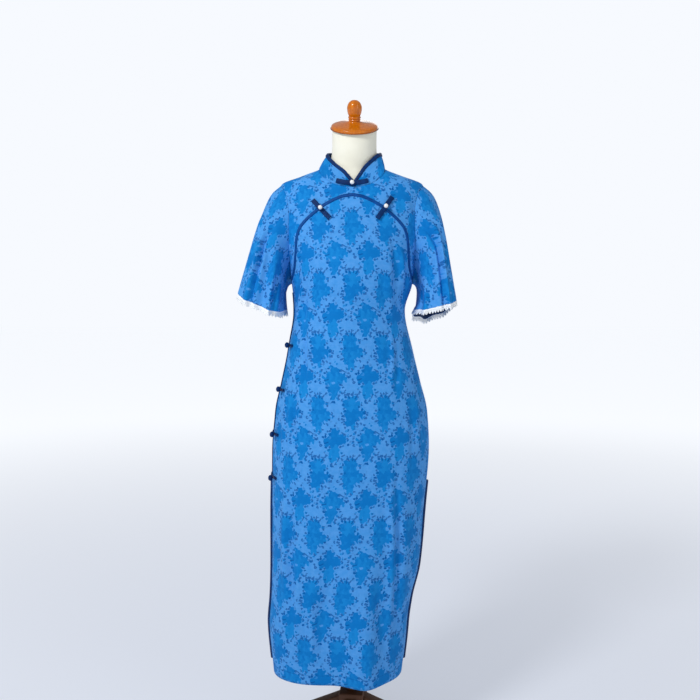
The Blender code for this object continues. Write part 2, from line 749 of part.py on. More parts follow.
def make_frogs(navy, pearl):
    over_binding = ARCH_LIFT + (1 + 2 * CROWN) * BINDING_THICK
    for side, start, end in FROGS:
        places = straight_places(start, end, FROG_STEPS)
        laid("frog_" + side, body_stations(places), FROG_WIDTH, FROG_THICK, navy, over_binding)
        middle = body_stations([places[FROG_STEPS // 2]])[0]
        stand = over_binding + (1 + 2 * CROWN) * FROG_THICK + PEARL_RADIUS + GAP
        ball("pearl_" + side, middle.point + middle.normal * stand, PEARL_RADIUS, pearl)
    stations = []
    for step in range(-COLLAR_FROG_STEPS, COLLAR_FROG_STEPS + 1):
        share = step / COLLAR_FROG_STEPS
        x = -COLLAR_FROG_HALF * share
        z = COLLAR_FROG_Z + COLLAR_FROG_BOW * share**2
        low = z - FROG_WIDTH / 2
        face = on_body(angle_at(x, low), low)
        stations.append(Station(Vector((x, face.y, z)), Vector((x, face.y, 0)).normalized()))
    laid("frog_collar", stations, FROG_WIDTH, FROG_THICK, navy, COLLAR_FROG_LIFT)
    middle = stations[COLLAR_FROG_STEPS]
    stand = COLLAR_FROG_LIFT + (1 + 2 * CROWN) * FROG_THICK + PEARL_RADIUS + GAP
    ball("pearl_collar", middle.point + middle.normal * stand, PEARL_RADIUS, pearl)


def make_side_frogs(navy):
    """Short bars over the side opening, each with a knot."""
    for number, z in enumerate(KNOT_HEIGHTS, 1):
        angles = [SIDE_FROG_ANGLE + SIDE_FROG_HALF * step / 2 for step in range(-2, 3)]
        over_binding = LIFT + (1 + 2 * CROWN) * BINDING_THICK + GAP
        stations = body_stations([(angle if angle <= 180 else angle - 360, z) for angle in angles])
        laid(f"side_frog_{number}", stations, SIDE_FROG_WIDTH, SIDE_FROG_THICK, navy, over_binding)
        stand = over_binding + (1 + 2 * CROWN) * SIDE_FROG_THICK + KNOT_RADIUS * KNOT_SQUASH + GAP
        knot = body_stations([(KNOT_ANGLE, z)])[0]
        ball(f"side_knot_{number}", knot.point + knot.normal * stand, KNOT_RADIUS, navy, KNOT_SQUASH)


def torso_ring(index, turn):
    """Point of the form, by ring of its two tables."""
    across, depth = math.cos(turn), math.sin(turn)
    if index < len(TORSO):
        row = TORSO[index]
        power = smooth(BODY, row.z).power
        reach = row.front if depth > 0 else row.back
        x = row.half_width * math.copysign(abs(across) ** (2 / power), across)
        return Vector((x, -math.copysign(reach * abs(depth) ** (2 / power), depth), row.z))
    row = NECK[index - len(TORSO)]
    tilt = math.radians(row.tilt)
    y = -row.half_depth * depth
    x = row.shift + row.half_width * across
    return Vector((x, row.lean + y * math.cos(tilt), row.z + y * math.sin(tilt)))


def make_form(cream, lacquer):
    def place(column, row):
        return torso_ring(row, 2 * math.pi * (column % FORM_COLUMNS) / FORM_COLUMNS)

    rows = len(TORSO) + len(NECK) - 1
    grid("form_torso", FORM_COLUMNS, rows, place, cream, body_core, closed=True, capped=True)
    profile = bpy.data.meshes.new("neck_cap")
    shape = bmesh.new()
    points = [shape.verts.new((radius, 0, height)) for radius, height in CAP_PROFILE]
    for upper, lower in zip(points, points[1:]):
        shape.edges.new((upper, lower))
    shape.to_mesh(profile)
    shape.free()
    cap = add_object("neck_cap", profile, lacquer)
    screw = cap.modifiers.new("turning", "SCREW")
    screw.steps = screw.render_steps = 20
    screw.use_merge_vertices = True
    screw.merge_threshold = 0.0001
    cap.location = CAP_CENTRE
    cap.rotation_euler = (TILT, 0, 0)


def leg_outline():
    """Side view of a leg: distance from the pole, and height. The sole is flat for the foot's length."""
    start = HUB_SIDE / 2 + GAP
    top, bottom = [], []
    for step in range(LEG_STEPS + 1):
        share = step / LEG_STEPS
        distance = start + (LEG_REACH - start) * share
        crest = TOE_RISE + LEG_RISE * (1 - share) ** 1.5 + LEG_SWELL * math.sin(math.pi * share)
        depth = LEG_DEPTH - (LEG_DEPTH - TOE_DEPTH) * share
        top.append((distance, crest))
        bottom.append((distance, max(crest - depth, 0.0) if share < SOLE_START else 0.0))
    return top + bottom[::-1]


def make_stand(wood):
    shape = bmesh.new()
    height = HUB_TOP_Z - HUB_BOTTOM_Z
    bmesh.ops.create_cube(shape, size=1.0)
    bmesh.ops.scale(shape, vec=(HUB_SIDE, HUB_SIDE, height), verts=shape.verts)
    bmesh.ops.translate(shape, vec=(0, 0, HUB_BOTTOM_Z + height / 2), verts=shape.verts)
    turn = Matrix.Rotation(math.radians(LEG_TURN), 3, "Z")
    bmesh.ops.rotate(shape, matrix=turn, verts=shape.verts)
    mesh = bpy.data.meshes.new("hub")
    shape.to_mesh(mesh)
    shape.free()
    add_object("hub", mesh, wood)

    shape = bmesh.new()
    low, high = HUB_TOP_Z + GAP, FORM_BOTTOM_Z - GAP
    sizes = {"radius1": POLE_RADIUS, "radius2": POLE_RADIUS, "depth": high - low}
    bmesh.ops.create_cone(shape, segments=24, cap_ends=True, **sizes)
    bmesh.ops.translate(shape, vec=(0, 0, (low + high) / 2), verts=shape.verts)
    mesh = bpy.data.meshes.new("pole")
    shape.to_mesh(mesh)
    shape.free()
    add_object("pole", mesh, wood)

    outline = leg_outline()
    for number in range(4):
        curve = bpy.data.curves.new(f"leg_{number + 1}", "CURVE")
        curve.dimensions = "2D"
        curve.fill_mode = "BOTH"
        curve.extrude = LEG_THICK / 2
        spline = curve.splines.new("POLY")
        spline.points.add(len(outline) - 1)
        for point, (distance, rise) in zip(spline.points, outline):
            point.co = (distance, rise, 0, 1)
        spline.use_cyclic_u = True
        leg = bpy.data.objects.new(curve.name, curve)
        curve.materials.append(wood)
        parts.objects.link(leg)
        upright = Matrix.Rotation(math.radians(90), 4, "X")
        turn = Matrix.Rotation(math.radians(LEG_TURN + 90 * number), 4, "Z")
        leg.matrix_world = turn @ upright


def make_all():
    cloth = finish_of("blue_flowered_cloth", BLUE, 0.75)
    navy = finish_of("navy_binding", NAVY, 0.6)
    lace = finish_of("white_lace", WHITE, 0.8)
    pearl = finish_of("pearl", WHITE, 0.25)
    cream = finish_of("cream_jersey", CREAM, 0.85)
    lacquer = finish_of("orange_lacquer", LACQUER, 0.2)
    wood = finish_of("dark_wood", DARK_WOOD, 0.45)
    make_panels(cloth)
    make_sleeve("sleeve_right", SLEEVE_RIGHT, -1, cloth)
    make_sleeve("sleeve_left", SLEEVE_LEFT, 1, cloth)
    make_lace("lace_right", SLEEVE_RIGHT, -1, lace)
    make_lace("lace_left", SLEEVE_LEFT, 1, lace)
    make_collar(cloth, navy)
    make_bindings(navy)
    make_frogs(navy, pearl)
    make_side_frogs(navy)
    make_form(cream, lacquer)
    make_stand(wood)


for leftover in list(bpy.data.objects):
    bpy.data.objects.remove(leftover)
parts = bpy.data.collections.new("cheongsam_on_dress_form")
bpy.context.scene.collection.children.link(parts)
make_all()
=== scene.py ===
"""A blue flowered cheongsam on a limbless dress form with a wooden stand, as it looks in a soft studio.

Metres, +X the wearer's left, -Y the front and +Z up. Angles on the body are in degrees: 0 at the wearer's
left side, 90 at the front, 180 at the right side and -90 at the back.
"""

import math
from collections import namedtuple

import bmesh
import bpy
from bpy.props import FloatProperty, FloatVectorProperty, PointerProperty
from mathutils import Matrix, Vector


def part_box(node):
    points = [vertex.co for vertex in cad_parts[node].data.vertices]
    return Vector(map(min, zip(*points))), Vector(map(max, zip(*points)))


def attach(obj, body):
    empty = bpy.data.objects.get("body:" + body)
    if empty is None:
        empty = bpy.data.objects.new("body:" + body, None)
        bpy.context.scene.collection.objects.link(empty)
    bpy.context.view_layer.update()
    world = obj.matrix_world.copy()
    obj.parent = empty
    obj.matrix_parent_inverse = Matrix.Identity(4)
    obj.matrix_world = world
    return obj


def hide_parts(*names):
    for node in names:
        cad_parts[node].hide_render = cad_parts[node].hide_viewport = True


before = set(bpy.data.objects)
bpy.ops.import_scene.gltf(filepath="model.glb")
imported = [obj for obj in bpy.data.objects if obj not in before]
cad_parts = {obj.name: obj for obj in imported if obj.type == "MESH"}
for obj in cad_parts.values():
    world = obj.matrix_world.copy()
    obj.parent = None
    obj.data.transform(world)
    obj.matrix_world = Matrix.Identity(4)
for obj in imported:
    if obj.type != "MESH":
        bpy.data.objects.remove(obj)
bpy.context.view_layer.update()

bl_info = {
    "name": "Cheongsam on a dress form",
    "version": (1, 0, 0),
    "blender": (4, 5, 0),
    "location": "View3D > Sidebar > Cheongsam",
    "description": "Makes a flowered cheongsam, the dress form and stand that it hangs on, and a studio",
    "category": "Object",
}

UV_NAME = "cloth"
BODY = "root"

# Heights and seams of the dress
HEM_Z = 0.197
UNDERARM_Z = 1.080
SLIT_TOP_Z = 0.630
SLIT_OPEN_Z = 0.570
SLIT_BINDING_Z = 0.218
OPENING_TOP_Z = 1.060
EDGE_INSET = 2.4
SIDE_LAP = 6.6
LAP_FULL_Z = 0.780
NECK_SIDE_Z = 1.336
TIP_ANGLE = 42
NECK_ANGLE = 54
YOKE_START = 6
SHOULDER_SHARE = 0.3
SEAM = 0.0002
SIDE_RADIUS = 0.12
SLIT_GAP_DEGREES = 1.6
COLLAR_RAISE = 0.0008
COLLAR_TOP_RADIUS = 0.0595
COLLAR_TOP_SHIFT = 0.0050
COLLAR_SKEW = 0.0060
COLLAR_OPEN = 1.0
COLLAR_SWELL = 0.0012
PIPING_START = 0.06
PIPING_RISE = 0.11
PIPING_STEPS = 8
COLLAR_MAP = (0.36, 0.045)
COLLAR_MAP_START = 4.0
COLLAR_INSET = 0.0034
COLLAR_INSET_SHARE = 0.006

# Folds of the skirt's hem
RIDGE_DEPTH = 0.026
RIDGE_X = 0.030
BACK_RIDGE_X = -0.060
RIDGE_WIDTH = 0.040
RIDGE_TOP_Z = 0.640

# Grid sizes of the cloth
BODY_COLUMNS = 150
SKIRT_ROWS = 130
CHEST_ROWS = 26
BACK_ROWS = 44
YOKE_COLUMNS = 132
YOKE_ROWS = 26
SLEEVE_COLUMNS = 168
SLEEVE_ROWS = 72
COLLAR_COLUMNS = 144
COLLAR_ROWS = 10
COLLAR_STEPS = 96

Ring = namedtuple("Ring", "z centre half_width front back power")
DRESS = (
    Ring(0.195, -0.0325, 0.1480, 0.106, 0.104, 2.9),
    Ring(0.300, -0.0315, 0.1580, 0.110, 0.108, 2.8),
    Ring(0.360, -0.0255, 0.1600, 0.113, 0.111, 2.7),
    Ring(0.440, -0.0150, 0.1680, 0.117, 0.116, 2.5),
    Ring(0.580, -0.0085, 0.1740, 0.123, 0.123, 2.3),
    Ring(0.700, -0.00225, 0.17825, 0.126, 0.126, 2.2),
    Ring(0.790, -0.0010, 0.1730, 0.122, 0.124, 2.15),
    Ring(0.860, -0.0020, 0.1575, 0.115, 0.114, 2.1),
    Ring(0.930, -0.0030, 0.1415, 0.109, 0.103, 2.1),
    Ring(1.020, -0.0060, 0.1260, 0.109, 0.096, 2.1),
    Ring(1.080, 0.0, 0.1365, 0.117, 0.100, 2.1),
    Ring(1.120, 0.0, 0.1415, 0.118, 0.104, 2.15),
    Ring(1.160, 0.0, 0.1490, 0.112, 0.106, 2.2),
    Ring(1.200, 0.0, 0.1570, 0.102, 0.106, 2.25),
    Ring(1.250, 0.0, 0.1640, 0.087, 0.101, 2.3),
    Ring(1.280, 0.0, 0.1660, 0.0785, 0.093, 2.3),
    Ring(1.3005, 0.0, 0.1600, 0.0735, 0.084, 2.2),
    Ring(1.318, 0.0, 0.1170, 0.0705, 0.075, 2.1),
    Ring(1.336, 0.0, 0.0740, 0.0690, 0.067, 2.0),
    Ring(1.352, 0.0, 0.0560, 0.0660, 0.062, 2.0),
)
Seam = namedtuple("Seam", "angle x z")
ARCH = (
    Seam(0, 0.1365, 1.0840),
    Seam(6, 0.1320, 1.0920),
    Seam(12, 0.1265, 1.1120),
    Seam(18, 0.1228, 1.1440),
    Seam(24, 0.1200, 1.1750),
    Seam(30, 0.1140, 1.1960),
    Seam(36, 0.1030, 1.2110),
    Seam(42, 0.0890, 1.2240),
    Seam(54, 0.0590, 1.2475),
    Seam(66, 0.0375, 1.2590),
    Seam(78, 0.0180, 1.2662),
    Seam(90, 0.0000, 1.2690),
)
ARMHOLE = (
    Seam(0, 0.1365, 1.0800),
    Seam(6, 0.1378, 1.0980),
    Seam(12, 0.1387, 1.1250),
    Seam(18, 0.1387, 1.1620),
    Seam(24, 0.1378, 1.2010),
    Seam(30, 0.1378, 1.2390),
    Seam(36, 0.1445, 1.2730),
    Seam(42, 0.1600, 1.3005),
)
NeckSeam = namedtuple("NeckSeam", "angle x front_z back_z")
NECK_SEAM = (
    NeckSeam(54, 0.0740, 1.3360, 1.3360),
    NeckSeam(60, 0.0700, 1.3190, 1.3375),
    NeckSeam(66, 0.0600, 1.3060, 1.3395),
    NeckSeam(72, 0.0470, 1.2970, 1.3410),
    NeckSeam(78, 0.0320, 1.2910, 1.3420),
    NeckSeam(84, 0.0160, 1.2872, 1.3425),
    NeckSeam(90, 0.0000, 1.2860, 1.3425),
)
CollarTop = namedtuple("CollarTop", "angle z reach")
COLLAR_TOP = (
    CollarTop(-90, 1.3850, 0.0560),
    CollarTop(-40, 1.3800, 0.0560),
    CollarTop(0, 1.3720, 0.0575),
    CollarTop(30, 1.3590, 0.0590),
    CollarTop(50, 1.3450, 0.0610),
    CollarTop(68, 1.3290, 0.0640),
    CollarTop(80, 1.3120, 0.0675),
    CollarTop(90, 1.2990, 0.0700),
)

Sleeve = namedtuple("Sleeve", "fall outer_x outer_z inner_x inner_z front back drop_front drop_back")
SLEEVE_RIGHT = (
    Sleeve(0.00, 0.1600, 1.3005, 0.1366, 1.0800, 0.056, 0.060, 0.000, 0.000),
    Sleeve(0.12, 0.1800, 1.2830, 0.1420, 1.0770, 0.062, 0.066, 0.000, 0.000),
    Sleeve(0.25, 0.1930, 1.2600, 0.1460, 1.0710, 0.068, 0.071, 0.001, 0.001),
    Sleeve(0.50, 0.2145, 1.2030, 0.1500, 1.0570, 0.077, 0.080, 0.004, 0.006),
    Sleeve(0.75, 0.2350, 1.1350, 0.1495, 1.0390, 0.085, 0.088, 0.009, 0.012),
    Sleeve(1.00, 0.2560, 1.0650, 0.1480, 1.0220, 0.092, 0.095, 0.016, 0.020),
)
SLEEVE_LEFT = (
    Sleeve(0.00, 0.1600, 1.3005, 0.1366, 1.0800, 0.056, 0.060, 0.000, 0.000),
    Sleeve(0.12, 0.1800, 1.2830, 0.1420, 1.0770, 0.062, 0.066, 0.000, 0.000),
    Sleeve(0.25, 0.1925, 1.2600, 0.1460, 1.0700, 0.068, 0.071, 0.001, 0.001),
    Sleeve(0.50, 0.2095, 1.2000, 0.1490, 1.0550, 0.077, 0.080, 0.003, 0.008),
    Sleeve(0.75, 0.2230, 1.1250, 0.1470, 1.0370, 0.084, 0.088, 0.006, 0.017),
    Sleeve(1.00, 0.2370, 1.0500, 0.1410, 1.0240, 0.089, 0.094, 0.010, 0.034),
)
SLEEVE_RADIUS = 0.088
FOLD_EASE = 0.35
FOLD_PAST = 0.25
FOLD_SHORT = 0.1
SLEEVE_WAVES = 6
WAVE_DEPTH = 0.0050
SLOW_WAVE = 0.4
CALM_OUTSIDE = 0.75
CALM_UNDERARM = 0.6
CAP_BLEND = 0.45
SLEEVE_FALL = 0.28
SLEEVE_MAP_START = 3.0
CAP_SEAM = 0.0001

# Creases of the panels, from one end to the other in x and z. A depth below zero is a trough.
Crease = namedtuple("Crease", "x0 z0 x1 z1 width depth")
FRONT_CREASES = (
    Crease(0.091, 1.175, 0.094, 1.020, 0.0065, -0.0046),
    Crease(0.104, 1.158, 0.113, 1.072, 0.0050, 0.0044),
    Crease(0.117, 1.140, 0.121, 1.060, 0.0050, -0.0034),
    Crease(0.076, 1.105, 0.090, 0.990, 0.0080, 0.0024),
    Crease(-0.107, 1.084, -0.124, 0.964, 0.0042, 0.0046),
    Crease(-0.098, 1.076, -0.113, 0.960, 0.0060, -0.0036),
    Crease(-0.112, 1.140, -0.126, 1.066, 0.0060, -0.0034),
    Crease(-0.086, 1.090, -0.098, 0.990, 0.0070, 0.0020),
    Crease(-0.101, 0.985, -0.102, 0.852, 0.0048, -0.0036),
    Crease(-0.092, 0.990, -0.094, 0.870, 0.0052, 0.0030),
    Crease(0.096, 0.965, 0.097, 0.826, 0.0048, -0.0034),
    Crease(0.087, 0.985, 0.088, 0.860, 0.0055, 0.0026),
    Crease(-0.146, 0.856, -0.153, 0.690, 0.0050, 0.0032),
    Crease(-0.125, 0.862, -0.128, 0.715, 0.0046, -0.0034),
    Crease(-0.135, 0.846, -0.140, 0.660, 0.0050, 0.0030),
    Crease(0.141, 0.830, 0.148, 0.700, 0.0050, 0.0026),
    Crease(0.128, 0.815, 0.133, 0.660, 0.0050, -0.0024),
    Crease(0.098, 0.690, 0.096, 0.285, 0.0060, -0.0050),
    Crease(0.088, 0.690, 0.084, 0.230, 0.0090, 0.0044),
    Crease(0.115, 0.640, 0.112, 0.225, 0.0100, 0.0040),
    Crease(-0.149, 0.640, -0.148, 0.360, 0.0065, 0.0044),
    Crease(-0.134, 0.650, -0.136, 0.330, 0.0080, -0.0046),
    Crease(-0.116, 0.520, -0.122, 0.230, 0.0085, 0.0040),
    Crease(0.004, 0.680, -0.014, 0.330, 0.0150, 0.0030),
    Crease(-0.050, 0.560, -0.066, 0.240, 0.0160, -0.0050),
    Crease(-0.084, 0.430, -0.094, 0.200, 0.0110, 0.0044),
    Crease(0.060, 0.470, 0.064, 0.200, 0.0140, -0.0048),
    Crease(-0.020, 1.215, -0.062, 1.165, 0.0090, 0.0018),
    Crease(0.030, 1.205, 0.078, 1.150, 0.0090, 0.0018),
    Crease(-0.138, 1.235, -0.108, 1.262, 0.0060, 0.0022),
    Crease(0.136, 1.232, 0.104, 1.268, 0.0060, 0.0022),
)
BACK_CREASES = (
    Crease(-0.074, 1.075, -0.076, 0.850, 0.0040, -0.0028),
    Crease(0.073, 1.070, 0.074, 0.842, 0.0040, -0.0028),
    Crease(0.104, 1.130, 0.124, 1.030, 0.0060, 0.0038),
    Crease(-0.108, 1.150, -0.120, 1.040, 0.0065, 0.0040),
    Crease(-0.060, 1.020, -0.010, 0.985, 0.0070, 0.0022),
    Crease(0.020, 1.030, 0.085, 0.990, 0.0070, 0.0024),
    Crease(-0.085, 0.960, -0.030, 0.940, 0.0065, -0.0020),
    Crease(0.135, 0.850, 0.143, 0.660, 0.0060, 0.0030),
    Crease(-0.142, 0.840, -0.148, 0.640, 0.0055, 0.0028),
    Crease(-0.100, 0.700, -0.106, 0.220, 0.0095, 0.0050),
    Crease(-0.122, 0.640, -0.128, 0.240, 0.0095, -0.0048),
    Crease(0.010, 0.690, 0.022, 0.230, 0.0140, -0.0052),
    Crease(0.058, 0.620, 0.070, 0.215, 0.0120, 0.0048),
    Crease(0.112, 0.560, 0.116, 0.230, 0.0095, 0.0042),
    Crease(-0.020, 0.520, -0.026, 0.210, 0.0130, 0.0042),
    Crease(-0.130, 1.230, -0.070, 1.262, 0.0090, 0.0022),
    Crease(0.128, 1.222, 0.072, 1.256, 0.0090, 0.0024),
)
CREASE_OVER = 0.05
CREASE_FULL = 0.30
CREASE_EASE = 0.65
CREASE_BEND = 0.25
CREASE_RIM = 0.35
CREASE_RIM_PLACE = 1.9
FOLD_REACH = 4
RUMPLE_WIDE = 0.0009
RUMPLE_FINE = 0.0004
EDGE_FADE = (0.02, 0.22)
NORMAL_TURN = 1
NORMAL_RISE = 0.002
NORMAL_SHARE = 0.02
# Folds of a sleeve, by the angle round it from its outside over the front, and by how far down it
Fold = namedtuple("Fold", "around width start end depth lean")
RIGHT_FOLDS = (
    Fold(30, 14, 0.10, 1.20, 0.0052, 4),
    Fold(52, 6, 0.30, 1.15, 0.0065, 4),
    Fold(62, 6, 0.14, 1.15, -0.0104, 6),
    Fold(84, 20, 0.20, 1.15, -0.0137, 8),
    Fold(110, 8, 0.22, 1.10, 0.0111, 2),
    Fold(126, 7, 0.30, 1.00, -0.0072, -6),
    Fold(142, 9, 0.25, 0.85, 0.0072, -14),
    Fold(160, 8, 0.15, 0.80, -0.0059, -12),
    Fold(208, 12, 0.25, 1.10, -0.0078, 6),
    Fold(236, 12, 0.20, 1.15, 0.0091, -4),
    Fold(262, 17, 0.20, 1.15, -0.0117, -6),
    Fold(292, 9, 0.12, 1.15, 0.0084, -4),
    Fold(318, 12, 0.15, 1.15, -0.0078, -6),
    Fold(342, 10, 0.20, 1.20, 0.0052, 0),
)
LEFT_FOLDS = (
    Fold(16, 10, 0.30, 1.20, -0.0039, 2),
    Fold(40, 12, 0.05, 1.20, 0.0065, 4),
    Fold(60, 6, 0.00, 1.20, 0.0078, 4),
    Fold(70, 6, 0.00, 1.15, -0.0097, 5),
    Fold(100, 22, 0.16, 1.10, -0.0130, 8),
    Fold(134, 9, 0.25, 1.05, 0.0091, -4),
    Fold(154, 9, 0.20, 0.95, -0.0084, -10),
    Fold(204, 11, 0.20, 1.15, 0.0072, 6),
    Fold(230, 14, 0.22, 1.10, -0.0097, 2),
    Fold(258, 11, 0.15, 1.15, 0.0084, -2),
    Fold(284, 16, 0.22, 1.15, -0.0111, -6),
    Fold(312, 10, 0.12, 1.20, 0.0065, -6),
)

# The dress form
FORM_BOTTOM_Z = 0.720
FORM_COLUMNS = 96
FORM_ROWS = 120
FormRing = namedtuple("FormRing", "z half_width front back")
TORSO = (
    FormRing(0.720, 0.150, 0.100, 0.104),
    FormRing(0.790, 0.160, 0.110, 0.112),
    FormRing(0.860, 0.146, 0.104, 0.104),
    FormRing(0.930, 0.128, 0.098, 0.094),
    FormRing(1.020, 0.112, 0.096, 0.086),
    FormRing(1.072, 0.122, 0.106, 0.091),
    FormRing(1.120, 0.133, 0.111, 0.097),
    FormRing(1.160, 0.142, 0.106, 0.100),
    FormRing(1.200, 0.150, 0.097, 0.101),
    FormRing(1.250, 0.158, 0.083, 0.097),
    FormRing(1.275, 0.1575, 0.0745, 0.087),
    FormRing(1.2908, 0.1520, 0.0665, 0.078),
    FormRing(1.3078, 0.119, 0.0600, 0.068),
    FormRing(1.3228, 0.080, 0.0530, 0.0570),
)
NeckRing = namedtuple("NeckRing", "z shift lean half_width half_depth tilt")
NECK = (
    NeckRing(1.336, 0.0015, -0.0010, 0.0600, 0.0500, 4),
    NeckRing(1.354, 0.0040, -0.0060, 0.0525, 0.0480, 10),
    NeckRing(1.376, 0.0052, -0.0120, 0.0498, 0.0475, 17),
    NeckRing(1.398, 0.0054, -0.0170, 0.0492, 0.0470, 23),
    NeckRing(1.4234, 0.0055, -0.0207, 0.0495, 0.0475, 28),
)
CAP_CENTRE = Vector((0.0055, -0.0225, 1.4268))
CAP_TILT = math.radians(28)
CAP_STEPS = 72
CAP_PROFILE = (
    (0.0000, 0.0583),
    (0.0065, 0.0570),
    (0.0128, 0.0520),
    (0.0160, 0.0445),
    (0.0163, 0.0385),
    (0.0150, 0.0300),
    (0.0126, 0.0238),
    (0.0138, 0.0219),
    (0.0138, 0.0200),
    (0.0125, 0.0184),
    (0.0134, 0.0168),
    (0.0132, 0.0150),
    (0.0124, 0.0136),
    (0.0160, 0.0110),
    (0.0270, 0.0085),
    (0.0420, 0.0060),
    (0.0500, 0.0033),
    (0.0517, 0.0010),
    (0.0516, -0.0017),
    (0.0495, -0.0035),
    (0.0000, -0.0035),
)

# The printed bouquets, from the middle of each: flowers, curled leaves and twigs. Tone is 0 soft to 1 deep.
Flower = namedtuple("Flower", "x y wide high tone")
Leaf = namedtuple("Leaf", "x y radius opening")
Twig = namedtuple("Twig", "x y length angle")
SPREAD_FLOWERS = (
    Flower(0.0012, 0.0241, 0.0132, 0.0143, 1.0),
    Flower(-0.0036, 0.0067, 0.0251, 0.0131, 1.0),
    Flower(0.0084, 0.0090, 0.0198, 0.0149, 1.0),
    Flower(0.0012, -0.0168, 0.0165, 0.0149, 0.0),
    Flower(-0.0024, -0.0336, 0.0073, 0.0095, 0.0),
)
SPREAD_LEAVES = (
    Leaf(-0.0300, -0.0030, 0.0023, 20),
    Leaf(0.0270, 0.0105, 0.0020, 200),
    Leaf(-0.0180, -0.0270, 0.0019, 320),
)
SPREAD_TWIGS = (
    Twig(-0.0220, 0.0020, 0.0080, 15),
    Twig(0.0150, 0.0250, 0.0100, -30),
    Twig(0.0100, -0.0290, 0.0080, 250),
    Twig(0.0225, -0.0230, 0.0070, 205),
)
TALL_FLOWERS = (
    Flower(0.0000, 0.0190, 0.0185, 0.0179, 0.4),
    Flower(-0.0060, 0.0213, 0.0119, 0.0143, 1.0),
    Flower(0.0048, -0.0045, 0.0238, 0.0149, 1.0),
    Flower(-0.0024, -0.0168, 0.0145, 0.0143, 1.0),
    Flower(-0.0012, -0.0325, 0.0086, 0.0119, 0.3),
)
TALL_LEAVES = (
    Leaf(0.0285, -0.0010, 0.0023, 160),
    Leaf(-0.0265, -0.0130, 0.0021, 10),
    Leaf(0.0190, -0.0250, 0.0019, 220),
)
TALL_TWIGS = (
    Twig(-0.0040, 0.0310, 0.0110, 112),
    Twig(0.0030, 0.0310, 0.0120, 86),
    Twig(0.0080, 0.0290, 0.0110, 58),
    Twig(-0.0150, -0.0180, 0.0070, 200),
)
# Ink of the bouquets: cells of the print, how far chance moves their edges, and the loose marks round them
PETAL_SCALE = 170.0
PETAL_FILL = (-0.0010, 0.0036)
PETAL_GROWTH = 0.8
PETAL_LEAST = 0.36
PETAL_BLUR = 0.05
RAGGED_EDGE = 0.0135
INK_EDGE = 0.0002
SHEET_APART = 0.31
WOBBLE = 0.0080
TONE_SWAP = 0.45
TONE_CHANCE = 0.9
STROKE = 0.0013
STROKE_WOBBLE = 0.45
SPECK_INNER = 0.0046
SPECK_OUTER = (-0.0080, -0.0040)
SPECK_CHANCE = (0.50, 0.54)
SPECK_SIZE = 0.42
SPECK_BLUR = (-0.07, 0.05)
# Painted shade along the crease of the turned-up hem: the width of its line, and how far it darkens the cloth
HEM_LINE = (0.0004, 0.0016)
HEM_CREASE_SHADE = 0.35
PRINT_COVER = 0.97
MARK_COVER = 0.72
SLUB_TINT = 0.06

# Noise of the materials: scale, detail and roughness. A range is what fades from nothing to full.
WOBBLE_NOISE = (150.0, 3.0, 0.6)
MOTTLE_NOISE = (95.0, 4.0, 0.65)
MOTTLE_RANGE = (0.36, 0.66)
ROUGH_NOISE = (60.0, 2.0)
REVERSE_NOISE = (40.0, 3.0)
SATIN_NOISE = (90.0, 3.0)
THREAD_NOISE = (900.0, 2.0)
PEARL_NOISE = (160.0, 2.0)
JERSEY_NOISE = (18.0, 3.0)
GRAIN_NOISE = (1.0, 4.0, 0.6)
FINE_NOISE = (1.0, 2.0)
WIDE_RANGE = (0.35, 0.7)

# Relief of the materials: strength and depth in metres
CLOTH_BUMP = (0.35, 0.0003)
REVERSE_BUMP = (0.3, 0.0002)
LACE_BUMP = (0.35, 0.0004)
JERSEY_BUMP = (0.25, 0.0003)
LACQUER_BUMP = (0.10, 0.0003)
WOOD_BUMP = (0.12, 0.0004)

# Trim
ARCH_WIDTH = 0.0070
COLLAR_WIDTH = 0.0085
SLIT_WIDTH = 0.0085
SLIT_HEIGHT = 0.0030
SLIT_LEAN = 0.8
SLIT_LIFT = 0.0014
SLIT_INSET = 1.2
BINDING_HEIGHT = 0.0022
BINDING_STEPS = 90
ARCH_STEPS = 150
ARCH_START = 0.8
STRIP_SIDES = 16
STRIP_BOXY = 0.7
STRIP_SINK = 0.0004
STRIP_BELOW = 0.15
STRIP_ROUND = 1.6
STRIP_CORE = 0.3
STRIP_MARKERS = 60
TRIM_ANGLE = 60
FROG_WIDTH = 0.0105
FROG_HEIGHT = 0.0032
FROGS = (
    ("right", (-0.0840, 1.2570), (-0.0480, 1.2165)),
    ("left", (0.0865, 1.2645), (0.0540, 1.2160)),
)
COLLAR_FROG_HALF = 0.033
COLLAR_FROG_Z = 1.2950
COLLAR_FROG_BOW = 0.0050
COLLAR_FROG_OUT = 0.0016
FROG_LIFT = 0.00176
BAR_STEPS = 24
BAR_SIDES = 20
BAR_BOXY = 0.45
BAR_BEVEL = 0.25
RIM_ANGLE = 1.2
PEARL_TURNS = 36
PEARL_RINGS = 24
BORE_SHARE = 0.05
BORE_SINK = 0.7
KNOT_HEIGHTS = (0.941, 0.842, 0.743, 0.646)
SIDE_FROG_HALF = 13.0
SIDE_FROG_ANGLE = 168
SIDE_FROG_REACH = 0.135
SIDE_FROG_WIDTH = 0.0062
SIDE_FROG_HEIGHT = 0.0024
SIDE_WIDTH = 0.0060
KNOT_TILTS = ((0, "X"), (62, "X"), (-62, "X"), (64, "Y"), (-64, "Y"))
KNOT_STEPS = 28
KNOT_CORD = 0.30
KNOT_CORE = 0.72
LACE_DEPTH = 0.0125
LACE_SCALLOP = 0.0058
LACE_SCALLOPS = 48
LACE_COLUMNS = 384
LACE_ROWS = 6
SCALLOP_WIDTH = 0.0125
SCALLOP_POWER = 1.3
EYELET_HOLE = (0.0004, 0.0007)
EYELET_RIM = (0.0008, 0.0014)
DROP_HOLE = (0.0006, 0.0009)
DROP_RIM = (0.0012, 0.0020)
LACE_ABOVE = 0.92
LACE_WALL = 0.0007
LACE_LAP = 0.0008

